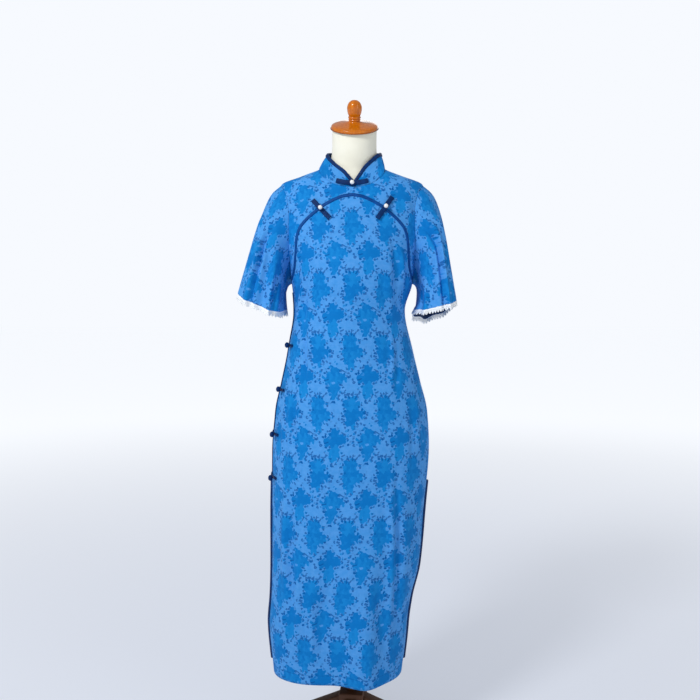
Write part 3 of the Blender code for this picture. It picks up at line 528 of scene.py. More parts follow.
# Lines in a metre of satin and of turned wood, and the jersey's ribs in a radian and rows in a metre
TWILL_LINES = 1100
TURNING_LINES = 1200
JERSEY_RIBS = 190.0
JERSEY_ROWS = 650
WOOD_GRAIN = 60.0

# The stand
POLE_RADIUS = 0.0125
POLE_BEVEL = 0.002
POLE_SIDES = 48
WOOD_BEVEL = 0.003
HUB_SIDE = 0.056
HUB_BOTTOM_Z = 0.062
HUB_TOP_Z = 0.1365
LEG_REACH = 0.276
LEG_THICK = 0.030
LEG_TURN = -6
LEG_RISE = 0.106
LEG_SWELL = 0.016
LEG_DEPTH = 0.044
TOE_RISE = 0.020
TOE_DEPTH = 0.024
LEG_STEPS = 40
SOLE_START = 0.8
GAP = 0.0003

# Studio
FLOOR_SIDE = 40.0
FLOOR_NEAR = 0.3
FLOOR_FAR = 6.0
LIGHTS = (
    ("key", (-1.7, -2.1, 2.9), (0, 0, 1.0), 0.8),
    ("fill", (2.3, -2.2, 1.7), (0, 0, 0.8), 1.6),
    ("back", (0.6, 2.4, 2.4), (0, 0, 0.9), 1.6),
)

# Camera
LENS = 38.93
CAMERA_PLACE = (-0.0045, -1.727, 1.02)
CAMERA_PITCH = 87.0


class Wire:
    """A socket of a material that Python's operators join with Math nodes."""

    def __init__(self, maker, socket):
        self.maker = maker
        self.socket = socket

    def math(self, operation, *values, clamp=False):
        settings = {"operation": operation, "use_clamp": clamp}
        return self.maker.add("ShaderNodeMath", settings, dict(enumerate(values)))

    def __add__(self, other):
        return self.math("ADD", self, other)

    __radd__ = __add__

    def __sub__(self, other):
        return self.math("SUBTRACT", self, other)

    def __rsub__(self, other):
        return self.math("SUBTRACT", other, self)

    def __mul__(self, other):
        return self.math("MULTIPLY", self, other)

    __rmul__ = __mul__

    def __truediv__(self, other):
        return self.math("DIVIDE", self, other)

    def __abs__(self):
        return self.math("ABSOLUTE", self)

    def floor(self):
        return self.math("FLOOR", self)

    def modulo(self, other):
        return self.math("FLOORED_MODULO", self, other)

    def most(self, other):
        return self.math("MAXIMUM", self, other)

    def least(self, other):
        return self.math("MINIMUM", self, other)

    def sine(self):
        return self.math("SINE", self)

    def rise(self, low, high):
        """0 at low and 1 at high, eased at both."""
        settings = {"interpolation_type": "SMOOTHSTEP"}
        return self.maker.add("ShaderNodeMapRange", settings, {0: self, 1: low, 2: high})


class Maker:
    """Makes one material: every node goes in through add."""

    def __init__(self, name):
        self.material = bpy.data.materials.new(name)
        self.material.use_nodes = True
        self.tree = self.material.node_tree
        self.shader = self.tree.nodes["Principled BSDF"]

    def add(self, kind, settings=None, inputs=None, output=0):
        node = self.tree.nodes.new(kind)
        for key, value in (settings or {}).items():
            setattr(node, key, value)
        for key, value in (inputs or {}).items():
            self.plug(node.inputs[key], value)
        return Wire(self, node.outputs[output])

    def plug(self, socket, value):
        if isinstance(value, Wire):
            self.tree.links.new(value.socket, socket)
        else:
            socket.default_value = value

    def vector(self, operation, *values, output=0):
        return self.add("ShaderNodeVectorMath", {"operation": operation}, dict(enumerate(values)), output)

    def split(self, vector):
        node = self.add("ShaderNodeSeparateXYZ", None, {0: vector}).socket.node
        return [Wire(self, socket) for socket in node.outputs]

    def join(self, x, y, z=0.0):
        return self.add("ShaderNodeCombineXYZ", None, {0: x, 1: y, 2: z})

    def noise(self, vector, scale, detail=2.0, roughness=0.5, output=0):
        inputs = {"Vector": vector, "Scale": scale, "Detail": detail, "Roughness": roughness}
        return self.add("ShaderNodeTexNoise", None, inputs, output)

    def mix(self, factor, first, second):
        inputs = {0: factor, 6: self.colour(first), 7: self.colour(second)}
        return self.add("ShaderNodeMix", {"data_type": "RGBA"}, inputs, 2)

    def colour(self, value):
        return value if isinstance(value, Wire) else (*value[:3], 1.0)

    def bump(self, height, strength, distance):
        inputs = {"Height": height, "Strength": strength, "Distance": distance}
        return self.add("ShaderNodeBump", None, inputs)

    def place(self):
        """The piece's own coordinates, which are the frame's."""
        return self.add("ShaderNodeTexCoord", None, None, 3)

    def own_map(self):
        """The piece's own map: across the cloth, along it, and both as a vector."""
        u, v, _ = self.split(self.add("ShaderNodeUVMap", {"uv_map": UV_NAME}))
        return u, v, self.join(u, v)

    def finish(self, **values):
        """Sets the shader's sockets, by their names with underscores, and returns the material."""
        for key, value in values.items():
            name = key.replace("_", " ").title().replace("Ior", "IOR")
            self.plug(self.shader.inputs[name], value)
        return self.material


# Materials


def inside_flowers(maker, point, flowers):
    """How far inside the nearest flower a point of the print lies, in metres, and that flower's tone."""
    best, tone = None, None
    for flower in flowers:
        size = (flower.wide + flower.high) / 2
        scale = (1 / flower.wide, 1 / flower.high, 1)
        shift = (-flower.x / flower.wide, -flower.y / flower.high, 0)
        scaled = maker.vector("MULTIPLY_ADD", point, scale, shift)
        inside = size - maker.vector("LENGTH", scaled, output=1) * size
        if best is None:
            best, tone = inside, inside * 0.0 + flower.tone
            continue
        nearer = inside.math("GREATER_THAN", inside, best)
        tone = tone + nearer * (flower.tone - tone)
        best = best.most(inside)
    return best, tone


def near_strokes(maker, point, leaves, twigs):
    """Distance to the nearest curled leaf or twig of the print."""
    best = None
    for leaf in leaves:
        away = maker.vector("SUBTRACT", point, (leaf.x, leaf.y, 0))
        ring = abs(maker.vector("LENGTH", away, output=1) - leaf.radius)
        turn = math.radians(leaf.opening)
        side = maker.vector("DOT_PRODUCT", away, (math.cos(turn), math.sin(turn), 0), output=1)
        ring = ring + side.rise(leaf.radius * 0.35, leaf.radius * 0.8) * leaf.radius
        best = ring if best is None else best.least(ring)
    for twig in twigs:
        turn = math.radians(twig.angle)
        along = (math.cos(turn) * twig.length, math.sin(turn) * twig.length, 0)
        away = maker.vector("SUBTRACT", point, (twig.x, twig.y, 0))
        share = maker.vector("DOT_PRODUCT", away, along, output=1)
        share = share.math("DIVIDE", share, twig.length**2, clamp=True)
        foot = maker.add("ShaderNodeVectorMath", {"operation": "SCALE"}, {0: along, 3: share})
        distance = maker.vector("LENGTH", maker.vector("SUBTRACT", away, foot), output=1)
        best = best.least(distance)
    return best


def bouquets(maker, u, v, size, shift, kind, flowers, leaves, twigs):
    """One of the print's two bouquets over its whole lattice: how much ink, its tone and the dark marks.

    Each bouquet is a patchwork of petals, which are cells: a cell is inked whole where its middle lies
    in a flower, by chance near the flower's edge, and it shrinks to a loose leaf outside.
    """
    across = u / size[0] + shift
    up = v / size[1] + shift
    column = across.floor()
    row = up.floor()
    other = (column + row).modulo(2.0)
    x = (across - column - 0.5) * size[0]
    y = (up - row - 0.5) * size[1]
    still = maker.join(x, y)
    apart = maker.join(other * SHEET_APART + kind, 0.0)
    flat = maker.vector("ADD", still, apart)
    wobble = maker.noise(flat, *WOBBLE_NOISE, output=1)
    bend = maker.vector("MULTIPLY_ADD", wobble, (WOBBLE, WOBBLE, 0), (-WOBBLE / 2, -WOBBLE / 2, 0))
    point = maker.vector("ADD", flat, bend)
    cells = {"Vector": point, "Scale": PETAL_SCALE}
    distance = maker.add("ShaderNodeTexVoronoi", {"voronoi_dimensions": "2D"}, cells)
    node = distance.socket.node
    chance, spare, third = maker.split(Wire(maker, node.outputs["Color"]))
    middle = maker.vector("SUBTRACT", Wire(maker, node.outputs["Position"]), apart)
    inside, tone = inside_flowers(maker, middle, flowers)
    tone = tone + other * (1 - 2 * tone) * TONE_SWAP
    inked = (inside + (chance - 0.5) * RAGGED_EDGE).rise(-INK_EDGE, INK_EDGE)
    fill = inside.rise(*PETAL_FILL)
    blob = (fill * PETAL_GROWTH + PETAL_LEAST - distance).rise(-PETAL_BLUR, PETAL_BLUR)
    slight = maker.vector("MULTIPLY_ADD", bend, (STROKE_WOBBLE, STROKE_WOBBLE, 0), still)
    strokes = 1 - near_strokes(maker, slight, leaves, twigs).rise(STROKE * 0.6, STROKE * 1.5)
    outer = (1 - inside.rise(0.0, SPECK_INNER)) * inside.rise(*SPECK_OUTER)
    specks = spare.rise(*SPECK_CHANCE) * outer * (SPECK_SIZE - distance).rise(*SPECK_BLUR)
    return inked * blob, tone + (third - 0.5) * TONE_CHANCE, strokes.most(specks)


def weave_height(maker, u, v, threads):
    """Height of a plain weave."""
    warp = (u * (2 * math.pi * threads)).sine()
    weft = (v * (2 * math.pi * threads)).sine()
    return warp * weft


def make_flowered_cloth(settings):
    maker = Maker("blue_flowered_cloth")
    u, v, flat = maker.own_map()
    size = (settings.repeat_width, settings.repeat_height)
    spread = bouquets(maker, u, v, size, 0.0, 0.0, SPREAD_FLOWERS, SPREAD_LEAVES, SPREAD_TWIGS)
    tall = bouquets(maker, u, v, size, 0.5, 0.9, TALL_FLOWERS, TALL_LEAVES, TALL_TWIGS)
    ink = spread[0].most(tall[0])
    tone = (spread[0] * spread[1]).most(tall[0] * tall[1])
    dark = spread[2].most(tall[2])
    mottle = maker.noise(flat, *MOTTLE_NOISE).rise(*MOTTLE_RANGE)
    slub = maker.noise(maker.join(u * 30.0, v * 400.0), *FINE_NOISE)
    ground = maker.mix(mottle, settings.ground, settings.ground_light)
    flower = maker.mix(tone.rise(0.0, 1.0), settings.soft_flower, settings.deep_flower)
    colour = maker.mix(ink * PRINT_COVER, ground, flower)
    colour = maker.mix(dark * MARK_COVER, colour, settings.leaf)
    colour = maker.mix(slub.rise(*WIDE_RANGE) * SLUB_TINT, colour, settings.leaf)
    # Painted shade: a thin line at the top of the turned-up hem is darkened towards the leaf colour, where
    # shade falls in the hem's crease. The same line is also pressed in as relief below.
    crease = 1 - abs(v - (HEM_Z + settings.hem_turn)).rise(*HEM_LINE)
    colour = maker.mix(crease * HEM_CREASE_SHADE, colour, settings.leaf)
    height = weave_height(maker, u, v, settings.threads) * 0.25 + slub * 0.6 - crease * 1.2
    rough = maker.noise(flat, *ROUGH_NOISE) * 0.12 + 0.62
    normal = maker.bump(height, *CLOTH_BUMP)
    return maker.finish(
        base_color=colour, roughness=rough, normal=normal, sheen_weight=0.03,
        sheen_roughness=0.5, specular_ior_level=0.05
    )


def make_cloth_back(settings):
    """The reverse of the cloth, where the print shows through dark."""
    maker = Maker("cloth_reverse")
    u, v, flat = maker.own_map()
    shade = maker.noise(flat, *REVERSE_NOISE).rise(0.4, 0.65)
    colour = maker.mix(shade, settings.reverse, settings.reverse_light)
    height = weave_height(maker, u, v, settings.threads)
    return maker.finish(base_color=colour, roughness=0.8, normal=maker.bump(height, *REVERSE_BUMP))


def make_binding_cloth(name, colour, light):
    """Navy satin cut on the bias, with its fine slanting twill."""
    maker = Maker(name)
    u, v, flat = maker.own_map()
    twill = ((u + v) * (2 * math.pi * TWILL_LINES)).sine()
    uneven = maker.noise(flat, *SATIN_NOISE).rise(*WIDE_RANGE)
    tone = maker.mix(uneven, colour, light)
    rough = uneven * 0.15 + 0.42
    normal = maker.bump(twill * 0.5 + uneven, *CLOTH_BUMP)
    return maker.finish(
        base_color=tone, roughness=rough, normal=normal, sheen_weight=0.01, specular_ior_level=0.12
    )


def make_lace_thread(settings):
    """White cotton lace: a plain heading, a row of eyelets and a spray of thread in each scallop."""
    maker = Maker("white_lace")
    u, v, _ = maker.own_map()
    scallop = u - u.floor() - 0.5
    small = (u * 4.0).modulo(1.0) - 0.5
    wide = SCALLOP_WIDTH
    eyelet = maker.vector("LENGTH", maker.join(small * (wide / 4), (v - 0.44) * LACE_DEPTH), output=1)
    drop = maker.vector("LENGTH", maker.join(scallop * wide, (v - 0.70) * LACE_DEPTH * 0.8), output=1)
    holes = (1 - eyelet.rise(*EYELET_HOLE)).most(1 - drop.rise(*DROP_HOLE))
    rim = (1 - eyelet.rise(*EYELET_RIM)).most(1 - drop.rise(*DROP_RIM))
    thread = maker.noise(maker.join(u * wide, v * LACE_DEPTH), *THREAD_NOISE)
    cords = (v * (2 * math.pi * 9.0)).sine() * (u * (2 * math.pi * 12.0)).sine()
    tone = maker.mix(thread.rise(*WIDE_RANGE), settings.lace_shade, settings.lace)
    normal = maker.bump(cords * 0.6 + thread + rim * 1.5, *LACE_BUMP)
    return maker.finish(base_color=tone, roughness=0.75, alpha=1 - holes, normal=normal)


def make_pearl(settings):
    maker = Maker("pearl")
    cloud = maker.noise(maker.place(), *PEARL_NOISE).rise(*WIDE_RANGE)
    tone = maker.mix(cloud, settings.pearl, settings.pearl_light)
    return maker.finish(
        base_color=tone, roughness=0.18, coat_weight=0.7, coat_roughness=0.06, specular_ior_level=0.6
    )


def make_jersey(settings):
    """Cream stockinet stretched over the form."""
    maker = Maker("cream_jersey")
    x, y, z = maker.split(maker.place())
    turn = x.math("ARCTAN2", y, x)
    ribs = (turn * JERSEY_RIBS).sine()
    rows = (z * (2 * math.pi * JERSEY_ROWS)).sine()
    cloud = maker.noise(maker.place(), *JERSEY_NOISE).rise(0.3, 0.75)
    tone = maker.mix(cloud, settings.jersey, settings.jersey_shade)
    normal = maker.bump(ribs + rows * 0.5, *JERSEY_BUMP)
    return maker.finish(base_color=tone, roughness=0.85, normal=normal, sheen_weight=0.15)


def make_lacquer(settings):
    """Orange lacquer over turned wood, with painted shade under the rim of the disc."""
    maker = Maker("orange_lacquer")
    away = maker.vector("SUBTRACT", maker.place(), tuple(CAP_CENTRE))
    axis = (0.0, -math.sin(CAP_TILT), math.cos(CAP_TILT))
    height = maker.vector("DOT_PRODUCT", away, axis, output=1)
    x, y, _ = maker.split(away)
    grain = maker.noise(maker.join(x * 240.0, y * 240.0, height * 26.0), *GRAIN_NOISE)
    streak = grain.rise(*WIDE_RANGE)
    tone = maker.mix(streak, settings.lacquer_dark, settings.lacquer)
    # Painted shade: the underside of the disc, where its own shadow falls, is mixed towards the dark rim
    # colour.
    under = 1 - height.rise(-0.0030, -0.0012)
    tone = maker.mix(under * 0.85, tone, settings.rim)
    turning = (height * (2 * math.pi * TURNING_LINES)).sine()
    normal = maker.bump(turning * 0.5 - grain, *LACQUER_BUMP)
    return maker.finish(
        base_color=tone, roughness=streak * 0.06 + 0.15, normal=normal, coat_weight=0.45,
        coat_roughness=0.05, specular_ior_level=0.25
    )


def make_wood(settings):
    """Planed wood: long grain along Z, with finer pores, under lacquer."""
    maker = Maker("dark_wood")
    x, y, z = maker.split(maker.place())
    long = maker.join(x * WOOD_GRAIN, y * WOOD_GRAIN, z * (WOOD_GRAIN * 0.12))
    broad = maker.noise(long, *GRAIN_NOISE)
    rings = ((broad * 26.0).sine() * 0.5 + 0.5) * 0.6 + broad.rise(*WIDE_RANGE) * 0.4
    pores = maker.noise(maker.join(x * 900.0, y * 900.0, z * 60.0), *FINE_NOISE).rise(0.5, 0.75)
    tone = maker.mix(rings, settings.wood_dark, settings.wood)
    tone = maker.mix(pores * 0.25, tone, settings.wood_dark)
    normal = maker.bump(rings * 0.4 - pores, *WOOD_BUMP)
    return maker.finish(
        base_color=tone, roughness=rings * 0.08 + 0.3, normal=normal, coat_weight=0.5, coat_roughness=0.08
    )


# Curves through the tables


def slope(rows, index, column):
    """Slope of a table's column at a row, never past its neighbours, so that a curve has no overshoot."""

    def step(low):
        return (rows[low + 1][column] - rows[low][column]) / (rows[low + 1][0] - rows[low][0])

    if index in (0, len(rows) - 1):
        return step(min(index, len(rows) - 2))
    before, after = step(index - 1), step(index)
    if before * after <= 0:
        return 0.0
    return 2 * before * after / (before + after)


def hermite(start, end, leave, arrive, t):
    """The cubic curve from start to end, with its slopes at both."""
    ends = start * (1 + 2 * t) * (1 - t) ** 2 + end * t * t * (3 - 2 * t)
    return ends + leave * t * (1 - t) ** 2 - arrive * t * t * (1 - t)


def smooth(rows, at):
    """The row of a table at any value of its first column."""
    at = min(max(at, rows[0][0]), rows[-1][0])
    high = next(index for index in range(1, len(rows)) if at <= rows[index][0])
    low = high - 1
    span = rows[high][0] - rows[low][0]
    t = (at - rows[low][0]) / span
    values = []
    for column in range(len(rows[0])):
        leave, arrive = slope(rows, low, column) * span, slope(rows, high, column) * span
        values.append(hermite(rows[low][column], rows[high][column], leave, arrive, t))
    return type(rows[0])(*values)


def fade(value, start, end):
    """0 at start and 1 at end, eased at both."""
    t = min(max((value - start) / (end - start), 0.0), 1.0)
    return t * t * (3 - 2 * t)


def oval(ring, power, across, depth):
    """x and y on a rounded section, for the cosine and the sine of an angle."""
    reach = ring.front if depth > 0 else ring.back
    x = ring.half_width * math.copysign(abs(across) ** (2 / power), across)
    return x, -math.copysign(reach * abs(depth) ** (2 / power), depth)


def on_body(angle, z):
    """Point of the dress's outer face before its creases."""
    ring = smooth(DRESS, z)
    depth = math.sin(math.radians(angle))
    x, y = oval(ring, ring.power, math.cos(math.radians(angle)), depth)
    x += ring.centre
    hang = fade(z, RIDGE_TOP_Z, HEM_Z) * abs(depth) ** 0.5
    side = RIDGE_X if depth > 0 else BACK_RIDGE_X
    ridge = RIDGE_DEPTH * hang * math.exp(-(((x - side) / RIDGE_WIDTH) ** 2))
    return Vector((x, y - math.copysign(ridge, depth), z))


def body_normal(angle, z):
    """Direction straight out of the dress's outer face."""
    along = on_body(angle + NORMAL_TURN, z) - on_body(angle - NORMAL_TURN, z)
    up = on_body(angle, z + NORMAL_RISE) - on_body(angle, z - NORMAL_RISE)
    return up.cross(along).normalized()


def angle_at(x, z, front=True):
    """Angle at which the body's face has this x, on its front or its back."""
    ring = smooth(DRESS, z)
    share = (x - ring.centre) / ring.half_width
    share = math.copysign(min(abs(share) ** (ring.power / 2), 1 - 1e-6), share)
    angle = math.degrees(math.acos(share))
    return angle if front else -angle


def crease_depth(creases, x, z):
    """How far the creases lift a panel's face at a place. Each is soft and bends a little."""
    total = 0.0
    for crease in creases:
        run_x, run_z = crease.x1 - crease.x0, crease.z1 - crease.z0
        length = math.hypot(run_x, run_z)
        along = ((x - crease.x0) * run_x + (z - crease.z0) * run_z) / length**2
        if not -CREASE_OVER < along < 1 + CREASE_OVER:
            continue
        off = ((x - crease.x0) * run_z - (z - crease.z0) * run_x) / length
        off += CREASE_BEND * crease.width * math.sin(9.0 * along + 40.0 * crease.x0)
        near = off / crease.width
        if abs(near) > FOLD_REACH:
            continue
        ends = fade(along, -CREASE_OVER, CREASE_FULL) * fade(along, 1 + CREASE_OVER, CREASE_EASE)
        rim = CREASE_RIM * math.exp(-((near - CREASE_RIM_PLACE) ** 2) / 2)
        total += crease.depth * ends * (math.exp(-near * near) - rim)
    return total


def rumple(x, z, front):
    """Slight unevenness all over a hanging cloth."""
    side = 1.0 if front else 2.3
    wide = math.sin(31 * x + 9 * z + side) * math.sin(13 * z - 17 * x + 2 * side)
    fine = math.sin(97 * x - 21 * z + side) * math.sin(41 * z + 23 * x)
    return RUMPLE_WIDE * wide + RUMPLE_FINE * fine


def dress_point(angle, z, lift=0.0):
    """Point of the dress's face with its creases, moved out by lift."""
    point = on_body(angle, z)
    front = angle > 0
    creases = FRONT_CREASES if front else BACK_CREASES
    edge = fade(abs(math.sin(math.radians(angle))), *EDGE_FADE)
    relief = (crease_depth(creases, point.x, z) + rumple(point.x, z, front)) * edge
    return point + body_normal(angle, z) * (relief + lift)


def station(angle, z, lift=0.0):
    """A point on the creased face and the direction out of it."""
    return dress_point(angle, z, lift), body_normal(angle, z)


def mirrored(curve, angle, *more):
    """(x, z) of a curve given for 0 to 90 degrees, also past 90 on the wearer's right."""
    if angle <= 90:
        return curve(angle, *more)
    x, z = curve(180 - angle, *more)
    return -x, z


def seam_half(table, angle):
    row = smooth(table, angle)
    return row.x, row.z


def arch(angle):
    """The arch's x and z, for a column of the front panel."""
    return mirrored(lambda half: seam_half(ARCH, half), angle)


def top_half(angle, front):
    """Top edge of the yoke or the back: armhole, then shoulder, then neck."""
    if angle <= TIP_ANGLE:
        return seam_half(ARMHOLE, angle)
    if angle <= NECK_ANGLE:
        share = (angle - TIP_ANGLE) / (NECK_ANGLE - TIP_ANGLE)
        z = ARMHOLE[-1].z + share * (NECK_SIDE_Z - ARMHOLE[-1].z)
        return smooth(DRESS, z).half_width, z
    row = smooth(NECK_SEAM, angle)
    return row.x, row.front_z if front else row.back_z


def top_edge(angle, front):
    return mirrored(top_half, angle, front)


def between(start, end, share):
    return tuple(a + (b - a) * share for a, b in zip(start, end))


def eased(share):
    """Share of the way up a column, with rows closer together towards the shoulder line."""
    return 1 - (1 - share) ** 2


def body_core(point):
    return Vector((0, 0, point.z))


# Meshes


def new_shape(columns, rows, place, mapped, core, closed=False):
    """A grid whose points stand where place(column, row) says, with its map, turned away from core(point)."""
    shape = bmesh.new()
    bmesh.ops.create_grid(shape, x_segments=columns, y_segments=rows, size=0.5)
    shape.verts.ensure_lookup_table()
    layer = shape.loops.layers.uv.new(UV_NAME)
    spots = {}
    for vert in shape.verts:
        spots[vert] = round((vert.co.x + 0.5) * columns), round((vert.co.y + 0.5) * rows)
    for vert, (column, row) in spots.items():
        vert.co = place(column, row)
    for face in shape.faces:
        for loop in face.loops:
            loop[layer].uv = mapped(*spots[loop.vert])
    if closed:
        bmesh.ops.remove_doubles(shape, verts=shape.verts, dist=1e-6)
    shape.normal_update()
    centres = [(face, face.calc_center_median()) for face in shape.faces]
    if sum(face.normal.dot(centre - core(centre)) for face, centre in centres) < 0:
        bmesh.ops.reverse_faces(shape, faces=shape.faces)
    return shape


def grid_points(columns, rows, place):
    """The points of a grid, worked out once, as another place(column, row)."""
    points = {}
    for column in range(columns + 1):
        for row in range(rows + 1):
            points[column, row] = place(column, row)
    return lambda column, row: points[column, row]


def add_piece(name, shape, finishes, nodes=(), angle=40):
    """Makes a piece of a bmesh, riding on the body, standing for the named nodes."""
    mesh = bpy.data.meshes.new(name)
    shape.to_mesh(mesh)
    shape.free()
    for finish in finishes:
        mesh.materials.append(finish)
    mesh.shade_smooth()
    mesh.set_sharp_from_angle(angle=math.radians(angle))
    piece = bpy.data.objects.new(name, mesh)
    bpy.context.scene.collection.objects.link(piece)
    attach(piece, BODY)
    if nodes:
        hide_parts(*nodes)
    return piece


def give_wall(piece, thickness, lined=True):
    """Thickness inwards. A lined piece has its second material, the reverse of the cloth, inside."""
    wall = piece.modifiers.new("wall", "SOLIDIFY")
    wall.thickness = thickness
    wall.offset = -1
    wall.use_quality_normals = lined
    wall.material_offset = int(lined)


def fill_rims(shape):
    rims = [edge for edge in shape.edges if edge.is_boundary]
    bmesh.ops.holes_fill(shape, edges=rims)


def add_trim(name, shape, navy, node):
    add_piece(name, shape, [navy], [node], angle=TRIM_ANGLE)


def strip_shape(stations, width, height, sides=STRIP_SIDES, sink=STRIP_SINK, boxy=STRIP_BOXY):
    """A strip along stations of (point, normal): flat below and crowned above, squarer as boxy falls."""
    last = len(stations) - 1
    lengths = [0.0]
    for here, there in zip(stations, stations[1:]):
        lengths.append(lengths[-1] + (there[0] - here[0]).length)
    markers = stations[:: max(1, len(stations) // STRIP_MARKERS)]

    def place(column, row):
        point, normal = stations[column]
        along = stations[min(column + 1, last)][0] - stations[max(column - 1, 0)][0]
        across = normal.cross(along).normalized()
        turn = 2 * math.pi * (row % sides) / sides
        out, side = math.sin(turn), math.cos(turn)
        rise = height * (abs(out) ** boxy) * (1 if out > 0 else -STRIP_BELOW)
        reach = width / 2 * math.copysign(abs(side) ** boxy, side)
        return point + across * reach + normal * (rise - sink + STRIP_BELOW * height)

    def mapped(column, row):
        return lengths[column], row / sides * (width + height) * STRIP_ROUND

    def core(point):
        middle, normal = min(markers, key=lambda marker: (marker[0] - point).length)
        return middle + normal * (height * STRIP_CORE)

    shape = new_shape(last, sides, place, mapped, core, closed=True)
    fill_rims(shape)
    shape.normal_update()
    return shape


# Panels


def side_edge(z):
    """Degrees between a panel's side edge and the side line: a seam, and a wider gap at the slits."""
    seam = math.degrees(0.5 * SEAM / SIDE_RADIUS)
    return seam + SLIT_GAP_DEGREES * fade(z, SLIT_TOP_Z, SLIT_OPEN_Z)


def panel_angle(share, z):
    edge = side_edge(z)
    return edge + (180 - 2 * edge) * share


class Girths:
    """Length along the cloth from the middle of the front or back, by angle and height."""

    STEP = 3
    RISE = 0.02
    LEVELS = 64

    def __init__(self, front):
        self.low = HEM_Z - self.RISE
        self.rows = []
        sign = 1 if front else -1
        for level in range(self.LEVELS):
            z = self.low + self.RISE * level
            points = [on_body(sign * max(angle, 0.01), z) for angle in range(0, 181, self.STEP)]
            lengths = [0.0]
            for here, there in zip(points, points[1:]):
                lengths.append(lengths[-1] + (there - here).length)
            middle = lengths[len(lengths) // 2]
            self.rows.append([middle - length for length in lengths])

    def at(self, angle, z):
        level = min(max((z - self.low) / self.RISE, 0.0), len(self.rows) - 1.001)
        column = min(max(abs(angle) / self.STEP, 0.0), len(self.rows[0]) - 1.001)
        low, left = int(level), int(column)
        up, right = level - low, column - left
        lower = self.rows[low][left] * (1 - right) + self.rows[low][left + 1] * right
        upper = self.rows[low + 1][left] * (1 - right) + self.rows[low + 1][left + 1] * right
        return lower * (1 - up) + upper * up


def panel_shape(columns, rows, spot, girths):
    """A body panel from spot(column, row), which gives an angle and a height, with the cloth's grain."""
    spots, points, heights = {}, {}, {}
    for column in range(columns + 1):
        for row in range(rows + 1):
            angle, z, shift = spot(column, row)
            spots[column, row] = angle, z
            points[column, row] = dress_point(angle, z) + shift
            if row == 0:
                heights[column, row] = z
            else:
                step = (points[column, row] - points[column, row - 1]).length
                heights[column, row] = heights[column, row - 1] + step

    def mapped(column, row):
        return girths.at(*spots[column, row]), heights[column, row]

    return new_shape(columns, rows, lambda c, r: points[c, r], mapped, body_core)


def skirt_height(share):
    return UNDERARM_Z - (UNDERARM_Z - HEM_Z) * (1 - share)


def front_spot(column, row):
    share = column / BODY_COLUMNS
    if row <= SKIRT_ROWS:
        z = skirt_height(row / SKIRT_ROWS)
        return panel_angle(share, z), z, Vector()
    start = (on_body(panel_angle(share, UNDERARM_Z), UNDERARM_Z).x, UNDERARM_Z)
    x, z = between(start, arch(180 * share), (row - SKIRT_ROWS) / CHEST_ROWS)
    return angle_at(x, z), z, Vector()


def back_top(share):
    """Top edge of the back between its shoulder tips, by the share of its width."""
    half = min(share, 1 - share)
    if half <= SHOULDER_SHARE:
        angle = TIP_ANGLE + half / SHOULDER_SHARE * (NECK_ANGLE - TIP_ANGLE)
    else:
        angle = NECK_ANGLE + (half - SHOULDER_SHARE) / (0.5 - SHOULDER_SHARE) * (90 - NECK_ANGLE)
    x, z = top_half(angle, False)
    return (x, z) if half == share else (-x, z)


def back_spot(column, row):
    share = column / BODY_COLUMNS
    if row <= SKIRT_ROWS:
        z = skirt_height(row / SKIRT_ROWS)
        return -panel_angle(share, z), z, Vector()
    start = (on_body(-panel_angle(share, UNDERARM_Z), UNDERARM_Z).x, UNDERARM_Z)
    rise = (row - SKIRT_ROWS) / BACK_ROWS
    x, z = between(start, back_top(share), eased(rise))
    side = 1 if share <= 0.5 else -1
    near_side = abs(1 - 2 * share) ** 3
    seam_x, seam_z = top_half(TIP_ANGLE * rise, False)
    line_x, line_z = between((ARMHOLE[0].x, UNDERARM_Z), (ARMHOLE[-1].x, ARMHOLE[-1].z), eased(rise))
    x += side * (seam_x - line_x) * near_side
    z += (seam_z - line_z) * near_side
    return angle_at(x, z, False), z, Vector((0, SEAM, 0)) * eased(rise) ** 8


def yoke_spot(column, row):
    angle = YOKE_START + (180 - 2 * YOKE_START) * column / YOKE_COLUMNS
    share = eased(row / YOKE_ROWS)
    x, z = between(arch(angle), top_edge(angle, True), share)
    return angle_at(x, z), z + SEAM, Vector((0, -SEAM, 0)) * share**8


def make_panels(cloth, reverse, wall):
    front_girths, back_girths = Girths(True), Girths(False)
    panels = (
        ("front", BODY_COLUMNS, SKIRT_ROWS + CHEST_ROWS, front_spot, front_girths, (0.52, 1.09), 0.415),
        ("back", BODY_COLUMNS, SKIRT_ROWS + BACK_ROWS, back_spot, back_girths, (0.50, 1.16), 0.43),
        ("yoke", YOKE_COLUMNS, YOKE_ROWS, yoke_spot, front_girths, (0.34, 0.26), 0.040),
    )
    for name, columns, rows, spot, girths, flat, area in panels:
        shape = panel_shape(columns, rows, spot, girths)
        piece = add_piece(f"{name}_cloth", shape, (cloth, reverse), [name])
        give_wall(piece, wall)


# Sleeves


def armhole_point(side, around):
    """Armhole seam on the body: around runs from 0 at the shoulder tip along the front to 180 at the
    underarm, and on to 360 along the back."""
    front = around <= 180
    from_tip = around if front else 360 - around
    row = smooth(ARMHOLE, TIP_ANGLE * (1 - from_tip / 180))
    point = on_body(angle_at(row.x, row.z, front), row.z)
    return Vector((side * point.x, point.y, point.z))


def sleeve_ring(table, side, fall, around):
    """Point of a smooth flared tube through the table's sections."""
    row = smooth(table, fall)
    turn = math.radians(around)
    middle_x, middle_z = (row.outer_x + row.inner_x) / 2, (row.outer_z + row.inner_z) / 2
    lean = math.cos(turn) / 2
    depth = math.sin(turn)
    reach, drop = (row.front, row.drop_front) if depth > 0 else (row.back, row.drop_back)
    x = middle_x + (row.outer_x - row.inner_x) * lean
    z = middle_z + (row.outer_z - row.inner_z) * lean - drop * abs(depth)
    return Vector((side * x, -reach * depth, z))


def sleeve_middle(table, side, fall):
    return sleeve_ring(table, side, fall, 0).lerp(sleeve_ring(table, side, fall, 180), 0.5)


